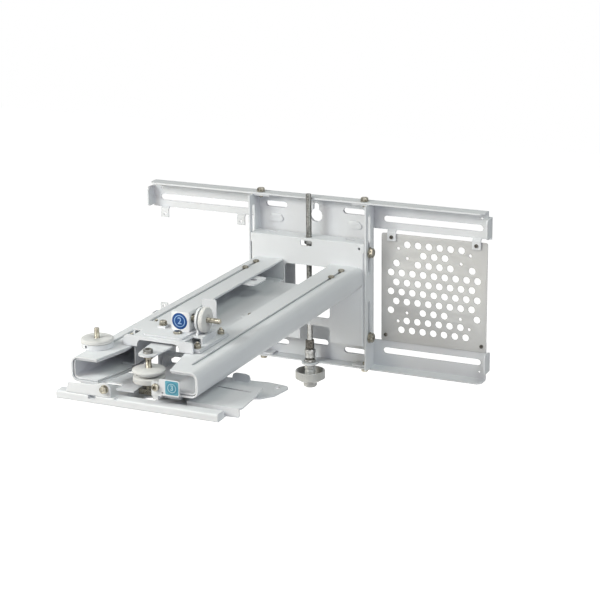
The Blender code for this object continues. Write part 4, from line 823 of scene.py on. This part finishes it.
tall, across = measure("slide_lock_nut")
wide = across / 2
rows = [(wide - 0.6 * MM, 0, 0), (wide, 0.5 * MM, 0), (wide, 0.9 * MM, 1),
        (wide, tall - 1.7 * MM, 1), (wide - 0.3 * MM, tall - 0.9 * MM, 0),
        (wide - 1.5 * MM, tall - 0.1 * MM, 0), (wide * 0.4, tall, 0),
        (wide * 0.34, tall - 0.5 * MM, 0)]
mesh = dial(rows, bore=3.6 * MM, ribs=80, depth=0.2 * MM)
stand_in("slide_lock_nut_ribbed", mesh, dial_white, "slide_lock_nut")
print("hand nut", round(across / MM, 1), "mm across")

# %% Disc and dial of the tilt stud
TILT_BORE = 3.8 * MM
tall, across = measure("tilt_disc")
wide = across / 2
rows = [(wide * 0.68, 0, 0), (wide - 1.4 * MM, 3.2 * MM, 0), (wide - 0.3 * MM, 4.2 * MM, 0),
        (wide, 5.0 * MM, 0), (wide - 0.1 * MM, 6.2 * MM, 0), (wide - 0.9 * MM, 7.0 * MM, 0),
        (wide - 3.2 * MM, 7.7 * MM, 0), (wide * 0.5, tall - 0.1 * MM, 0), (wide * 0.3, tall, 0)]
mesh = dial(rows, TILT_BORE, ribs=24, depth=0.0)
stand_in("tilt_disc_domed", mesh, dial_white, "tilt_disc")

tall, across = measure("tilt_dial")
wide = across / 2
rows = [(wide - 1.4 * MM, 0, 0), (wide - 0.4 * MM, 0.5 * MM, 0), (wide, 1.0 * MM, 1),
        (wide, tall - 1.0 * MM, 1), (wide - 0.4 * MM, tall - 0.5 * MM, 0),
        (wide - 1.4 * MM, tall, 0), (wide * 0.4, tall, 0)]
mesh = dial(rows, TILT_BORE, ribs=90, depth=0.45 * MM)
stand_in("tilt_dial_ribbed", mesh, dial_white, "tilt_dial")
print("tilt dial", round(across / MM, 1), "mm across")

# %% [markdown]
# ## Flat sheet with true round holes
#
# The perforated plate carries a small player. Its round holes are eight-sided in the CAD
# to keep the solid light, so the plate is drawn again. A 2D curve fills its outline and
# leaves its inner loops open, and its own bevel rounds every edge, the holes' edges too,
# which is quicker and cleaner than cutting more than 60 holes one by one.


# %% A sheet from loops of points
def loop_round(centre, reach, count=28):
    angles = [FULL_TURN * step / count for step in range(count)]
    return [(centre[0] + reach * math.cos(angle), centre[1] + reach * math.sin(angle))
            for angle in angles]


def loop_square(low, high, reach, steps=5):
    """A rectangle with round corners."""
    left, bottom = low[0] + reach, low[1] + reach
    right, top = high[0] - reach, high[1] - reach
    points = []
    for turn, (x, y) in enumerate(((right, top), (left, top), (left, bottom), (right, bottom))):
        for step in range(steps + 1):
            angle = math.pi / 2 * (turn + step / steps)
            points.append((x + reach * math.cos(angle), y + reach * math.sin(angle)))
    return points


def filled_sheet(loops, wall, soft):
    """A flat sheet on z 0 with rounded edges; the first loop is its outline."""
    curve = bpy.data.curves.new("outline", "CURVE")
    curve.dimensions, curve.fill_mode = "2D", "BOTH"
    curve.extrude, curve.bevel_depth, curve.offset = wall / 2 - soft, soft, -soft
    curve.bevel_resolution = 1
    for points in loops:
        spline = curve.splines.new("POLY")
        spline.points.add(len(points) - 1)
        for spot, (x, y) in zip(spline.points, points):
            spot.co = (x, y, 0, 1)
        spline.use_cyclic_u = True
    return solid_of(curve, wall)


def solid_of(curve, wall):
    """The closed mesh of a curve or text, from z 0 up to its wall."""
    thing = bpy.data.objects.new("outline", curve)
    bpy.context.scene.collection.objects.link(thing)
    mesh = evaluated(thing)
    bmesh.ops.remove_doubles(mesh, verts=mesh.verts, dist=0.001 * MM)
    mesh.transform(Matrix.Translation((0, 0, wall / 2)))
    return mesh


def upright(mesh, face):
    """Stands a flat mesh up to face the front, with its back on that plane."""
    mesh.transform(Matrix.Translation((0, face, 0)) @ Matrix.Rotation(math.pi / 2, 4, "X"))
    return mesh


print("sheet helpers ready")

# %% [markdown]
# The holes lie on a triangular grid, 15.1 mm apart on a plate 148 mm wide. A row is a list
# of half steps from the left, and the next row stands half a step across. Two squares of
# small holes, of 75 and 100 mm, lie between them.

# %% The plate's rows of holes
PLATE_BACK, PLATE_WALL = -2.3 * MM, 1.5 * MM
PLATE_CORNER, PLATE_EDGE = 3 * MM, 0.25 * MM
RAIL_TOP = 115 * MM
mid_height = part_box("wall_rail_top")[1].z - RAIL_TOP
low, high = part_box("device_plate")
plate_x = (low.x + high.x) / 2
HOLE_STEP = (high.x - low.x) * 15.1 / 148
ROW_STEP = HOLE_STEP * math.sqrt(3) / 2
HOLE, SMALL_HOLE = HOLE_STEP * 0.3, HOLE_STEP * 0.13
ROWS = ((3, 5, 7, 9, 11, 13), (6, 8, 10), (1, 5, 7, 9, 11, 15), range(0, 17, 2),
        range(1, 16, 2), range(0, 17, 2), range(1, 16, 2), (0, 6, 8, 10, 16),
        (3, 5, 7, 9, 11, 13), range(2, 15, 2))
SQUARES, SQUARES_UP = (75 * MM, 100 * MM), 3 * MM

loops = [loop_square((low.x, low.z), (high.x, high.z), PLATE_CORNER)]
for number, row in enumerate(ROWS):
    height = mid_height + ROW_STEP * (4.5 - number)
    loops += [loop_round((plate_x + (column - 8) * HOLE_STEP / 2, height), HOLE)
              for column in row]
for square in SQUARES:
    ends = (-square / 2, square / 2)
    loops += [loop_round((plate_x + x, mid_height + SQUARES_UP + z), SMALL_HOLE, 16)
              for x in ends for z in ends]
plate = upright(filled_sheet(loops, PLATE_WALL, PLATE_EDGE), PLATE_BACK)
piece("device_plate_perforated", plate, plate_coat_painted_shade, "device_plate")
print("plate with", len(loops) - 1, "holes")

# %% The plate's four screws
SCREW_BACK, SCREW_UP = -0.4 * MM, 68 * MM
EAR_FACE, PLATE_FACE = -6.3 * MM, -3.8 * MM
for height, side, reach, face in (("top", 1, 59 * MM, EAR_FACE),
                                  ("bottom", -1, 67.5 * MM, PLATE_FACE)):
    for way, end in (("left", -1), ("right", 1)):
        mesh = socket_screw(reach=2.5 * MM, head=1.7 * MM, shank=1.5 * MM,
                            length=SCREW_BACK - face, socket=2.4 * MM, depth=1.3 * MM)
        place = Vector((plate_x + end * reach, SCREW_BACK, mid_height + side * SCREW_UP))
        piece(f"plate_screw_{height}_{way}", stand(mesh, place, "y", -1), dark_steel,
              "device_plate", replaces=False)
print("four plate screws")

# %% [markdown]
# ## Pressed bumps in the column
#
# Two oblong bumps are pressed forward out of the column's back sheet, above the carriage.
# A superellipse gives the oblong, and its rings shrink as they rise like a pressed dome.

# %% The bumps: shares of the oblong and their heights in millimetres
DOME = ((1.0, -0.2), (1.0, 0.1), (0.93, 0.9), (0.82, 1.5), (0.6, 1.75), (0.3, 1.85))
BUMP_LONG, BUMP_HIGH, SQUARENESS = 8.6 * MM, 4.1 * MM, 3.2
COLUMN_FACE, BUMP_UP = -4.5 * MM, 81 * MM


def oblong(share):
    """The reach of a superellipse at any angle."""
    def at(angle):
        across, along = abs(math.cos(angle)) / BUMP_LONG, abs(math.sin(angle)) / BUMP_HIGH
        return share * (across ** SQUARENESS + along ** SQUARENESS) ** (-1 / SQUARENESS)
    return at


for way, x in (("left", -57 * MM), ("right", 56.8 * MM)):
    rings = [(oblong(share), height * MM) for share, height in DOME]
    mesh = turned([ring(0, -0.2 * MM)] + rings + [ring(0, 1.87 * MM)])
    place = Vector((x, COLUMN_FACE, mid_height + BUMP_UP))
    piece(f"column_bump_{way}", stand(mesh, place, "y", -1), coat, "column_frame",
          replaces=False)
print("two bumps")

# %% [markdown]
# ## Number labels
#
# Two film labels number the adjusting points: a dark blue disc with a 2 on the swivel
# block and a light blue square with a 3 beside the roll screw. Each is a stack of thin
# films, ground, disc, ring and digit, so the print is real geometry that stays sharp from
# near and takes its own ink. The digit is a text object turned into a mesh.

# %% Films on a front face
FILM, FILM_EDGE = 0.08 * MM, 0.01 * MM
RIM_SHARES, DIGIT_SHARE = (0.72, 0.63), 1.15
LABEL_SIDES = 48


def film(name, mesh, face, layer, finish, like):
    """A thin film on a face; each layer lies just before the one below it."""
    piece(name, upright(mesh, face - layer * FILM * 1.05), finish, like, replaces=False)


def digit_mesh(text, size, place):
    words = bpy.data.curves.new("digit", "FONT")
    words.body, words.size, words.extrude, words.offset = text, size, FILM / 2, size * 0.008
    words.align_x, words.align_y = "CENTER", "CENTER"
    mesh = solid_of(words, FILM)
    mesh.transform(Matrix.Translation((place[0], place[1], 0)))
    return mesh


def on_front(x, height):
    """A point of a front face, in millimetres from the middle between the rails."""
    return (x * MM, mid_height + height * MM)


def number_label(text, centre, ground, reach, face, inks, like):
    """Ground, disc, ring and digit, from the back to the front."""
    ground_ink, disc_ink, line_ink = inks
    disc = [loop_round(centre, reach, LABEL_SIDES)]
    rim = [loop_round(centre, reach * share, LABEL_SIDES) for share in RIM_SHARES]
    layers = (("ground", [ground], ground_ink), ("disc", disc, disc_ink), ("ring", rim, line_ink))
    for layer, (part, loops, finish) in enumerate(layers):
        mesh = filled_sheet(loops, FILM, FILM_EDGE)
        film(f"label_{text}_{part}", mesh, face, layer, finish, like)
    digit = digit_mesh(text, reach * DIGIT_SHARE, centre)
    film(f"label_{text}_digit", digit, face, 2, line_ink, like)


print("a film is", round(FILM / MM, 2), "mm thick")

# %% Label 2 on the swivel block, label 3 on the roll bracket
deep_blue = ink("ink_deep_blue", (0.008, 0.052, 0.20), (0.016, 0.075, 0.25))
pale_line = ink("ink_pale_line", (0.30, 0.46, 0.70), (0.25, 0.41, 0.66))
sky_blue = ink("ink_sky_blue", (0.09, 0.30, 0.39), (0.12, 0.34, 0.43))
mid_blue = ink("ink_mid_blue", (0.045, 0.21, 0.31), (0.07, 0.25, 0.35))
sky_line = ink("ink_sky_line", (0.46, 0.62, 0.66), (0.40, 0.56, 0.61))

BLOCK_FACE = -411.0 * MM
ground = loop_square(on_front(2.9, 45.9), on_front(23.7, 67.9), 1.5 * MM)
number_label("2", on_front(12.9, 57.0), ground, 9.8 * MM, BLOCK_FACE,
             (film_white, deep_blue, pale_line), "swivel_plate")
wing_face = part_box("roll_bracket")[0].y
ground = loop_square(on_front(43.2, 2.6), on_front(59.8, 18.8), 1.8 * MM)
number_label("3", on_front(51.5, 10.7), ground, 7.4 * MM, wing_face,
             (sky_blue, mid_blue, sky_line), "roll_bracket")
print("labels 2 and 3")

# %% [markdown]
# ## Floor and white room
#
# The mount hangs in a white room. The floor lies below it, pale and plain, and glows only
# where the camera, a mirror or glass looks at it, so the background is white without more
# light on the object, and the floor still takes the soft shadow. The sky works the same
# way: it looks white, and what it really sheds is next to nothing.

# %% Floor and sky
FLOOR_DROP, FLOOR_REACH, FLOOR_MIDDLE = 0.25, 3.0, -0.3
FLOOR_GLOW = (0.90, 0.90, 0.90)
floor_z = cad_box[0][2] - FLOOR_DROP


def seen_by_camera(tree):
    """1 for rays that show the background: camera, mirror and glass rays."""
    path = tree.nodes.new("ShaderNodeLightPath")
    camera_ray, mirror_ray, glass_ray = [
        Wire(tree, path.outputs[f"Is {kind} Ray"]) for kind in ("Camera", "Glossy", "Transmission")]
    return camera_ray.maths("MAXIMUM", camera_ray.maths("MAXIMUM", camera_ray, mirror_ray),
                            glass_ray)


mesh = bmesh.new()
bmesh.ops.create_grid(mesh, x_segments=8, y_segments=8, size=FLOOR_REACH)
floor = loose_object("floor", mesh)
floor.location = (0, FLOOR_MIDDLE, floor_z)
made, shader, place = new_material("floor_white", Roughness=0.9, Emission_Strength=1.0)
paint(shader, Base_Color=grain(place, 4).blend((0.80, 0.80, 0.80), (0.84, 0.84, 0.84)),
      Emission_Color=seen_by_camera(made.node_tree).blend((0, 0, 0), FLOOR_GLOW))
dress(floor, made)

world = bpy.data.worlds.new("white_room")
bpy.context.scene.world = world
world.use_nodes = True
sky = world.node_tree
sky.nodes.clear()
faint = node(sky, "Background", Color=(0.75, 0.86, 1.0), Strength=0.05)
white = node(sky, "Background", Color=(1, 1, 1), Strength=1.0)
both = node(sky, "MixShader", _0=seen_by_camera(sky), _1=faint, _2=white)
sky.links.new(both.socket, sky.nodes.new("ShaderNodeOutputWorld").inputs["Surface"])
print("floor at", round(floor_z, 3))

# %% [markdown]
# ## Lamps
#
# Five soft square lamps stand round the front, all turned to the middle of the arms. Their powers
# and colours were set together so that the faces that look up, left, right and to the front take
# the tones they have in the photograph.
# The near lamp on the left makes the left rail brighter than the right one. The lamps are
# nearly neutral in sum, and the coat itself is slightly blue, which cools the shadows.

# %% Lamps: place, side length, power and colour
LAMP_TARGET = Vector((0, -0.25, -0.1))
LAMPS = {
    "lamp_near_left": ((-0.8, -1.1, 0.5), 0.5, 11.9, (0.95, 1.0, 0.99)),
    "lamp_left": ((-1.5, -1.5, 0.6), 1.0, 8.4, (1.0, 0.80, 0.48)),
    "lamp_top_front": ((-0.3, -1.6, 1.1), 0.6, 9.0, (1.0, 0.90, 0.83)),
    "lamp_right_top": ((1.0, -0.6, 1.2), 1.0, 11.8, (0.93, 1.0, 0.92)),
    "lamp_right": ((1.6, -1.4, 0.4), 1.0, 6.6, (0.95, 0.91, 1.0)),
}
for name, (place, side, power, colour) in LAMPS.items():
    data = bpy.data.lights.new(name, "AREA")
    data.shape, data.size = "SQUARE", side
    data.energy, data.color = power, colour
    thing = bpy.data.objects.new(name, data)
    thing.location = place
    thing.rotation_euler = (LAMP_TARGET - Vector(place)).to_track_quat("-Z", "Y").to_euler()
    bpy.context.scene.collection.objects.link(thing)
print(len(LAMPS), "lamps")

# %% [markdown]
# ## Camera
#
# The photograph looks down a little from the front right, with a long lens. The place,
# the two angles and the small tilt were fitted to the bracket's corners, and the lens
# follows from an image that is 600 pixels wide.

# %% Camera
CAMERA_PLACE = Vector((0.97838, -2.16026, 0.56977))
SIDE, DOWN, TILT = math.radians(24.93), math.radians(16.65), math.radians(-0.64)
IMAGE_WIDTH, FOCAL_PIXELS, SENSOR_WIDTH = 600, 1822, 36

back = Vector((math.sin(SIDE) * math.cos(DOWN), -math.cos(SIDE) * math.cos(DOWN),
               math.sin(DOWN)))
level = Vector((math.cos(SIDE), math.sin(SIDE), 0))
right = level * math.cos(TILT) + back.cross(level) * math.sin(TILT)
upward = back.cross(right)
lens = bpy.data.cameras.new("camera")
lens.sensor_width = SENSOR_WIDTH
lens.lens = FOCAL_PIXELS * SENSOR_WIDTH / IMAGE_WIDTH
camera = bpy.data.objects.new("camera", lens)
camera.matrix_world = Matrix(((right.x, upward.x, back.x, CAMERA_PLACE.x),
                              (right.y, upward.y, back.y, CAMERA_PLACE.y),
                              (right.z, upward.z, back.z, CAMERA_PLACE.z),
                              (0, 0, 0, 1)))
bpy.context.scene.collection.objects.link(camera)
bpy.context.scene.camera = camera
bpy.context.scene.view_settings.view_transform = "Standard"
print("camera lens", round(lens.lens, 1), "mm")
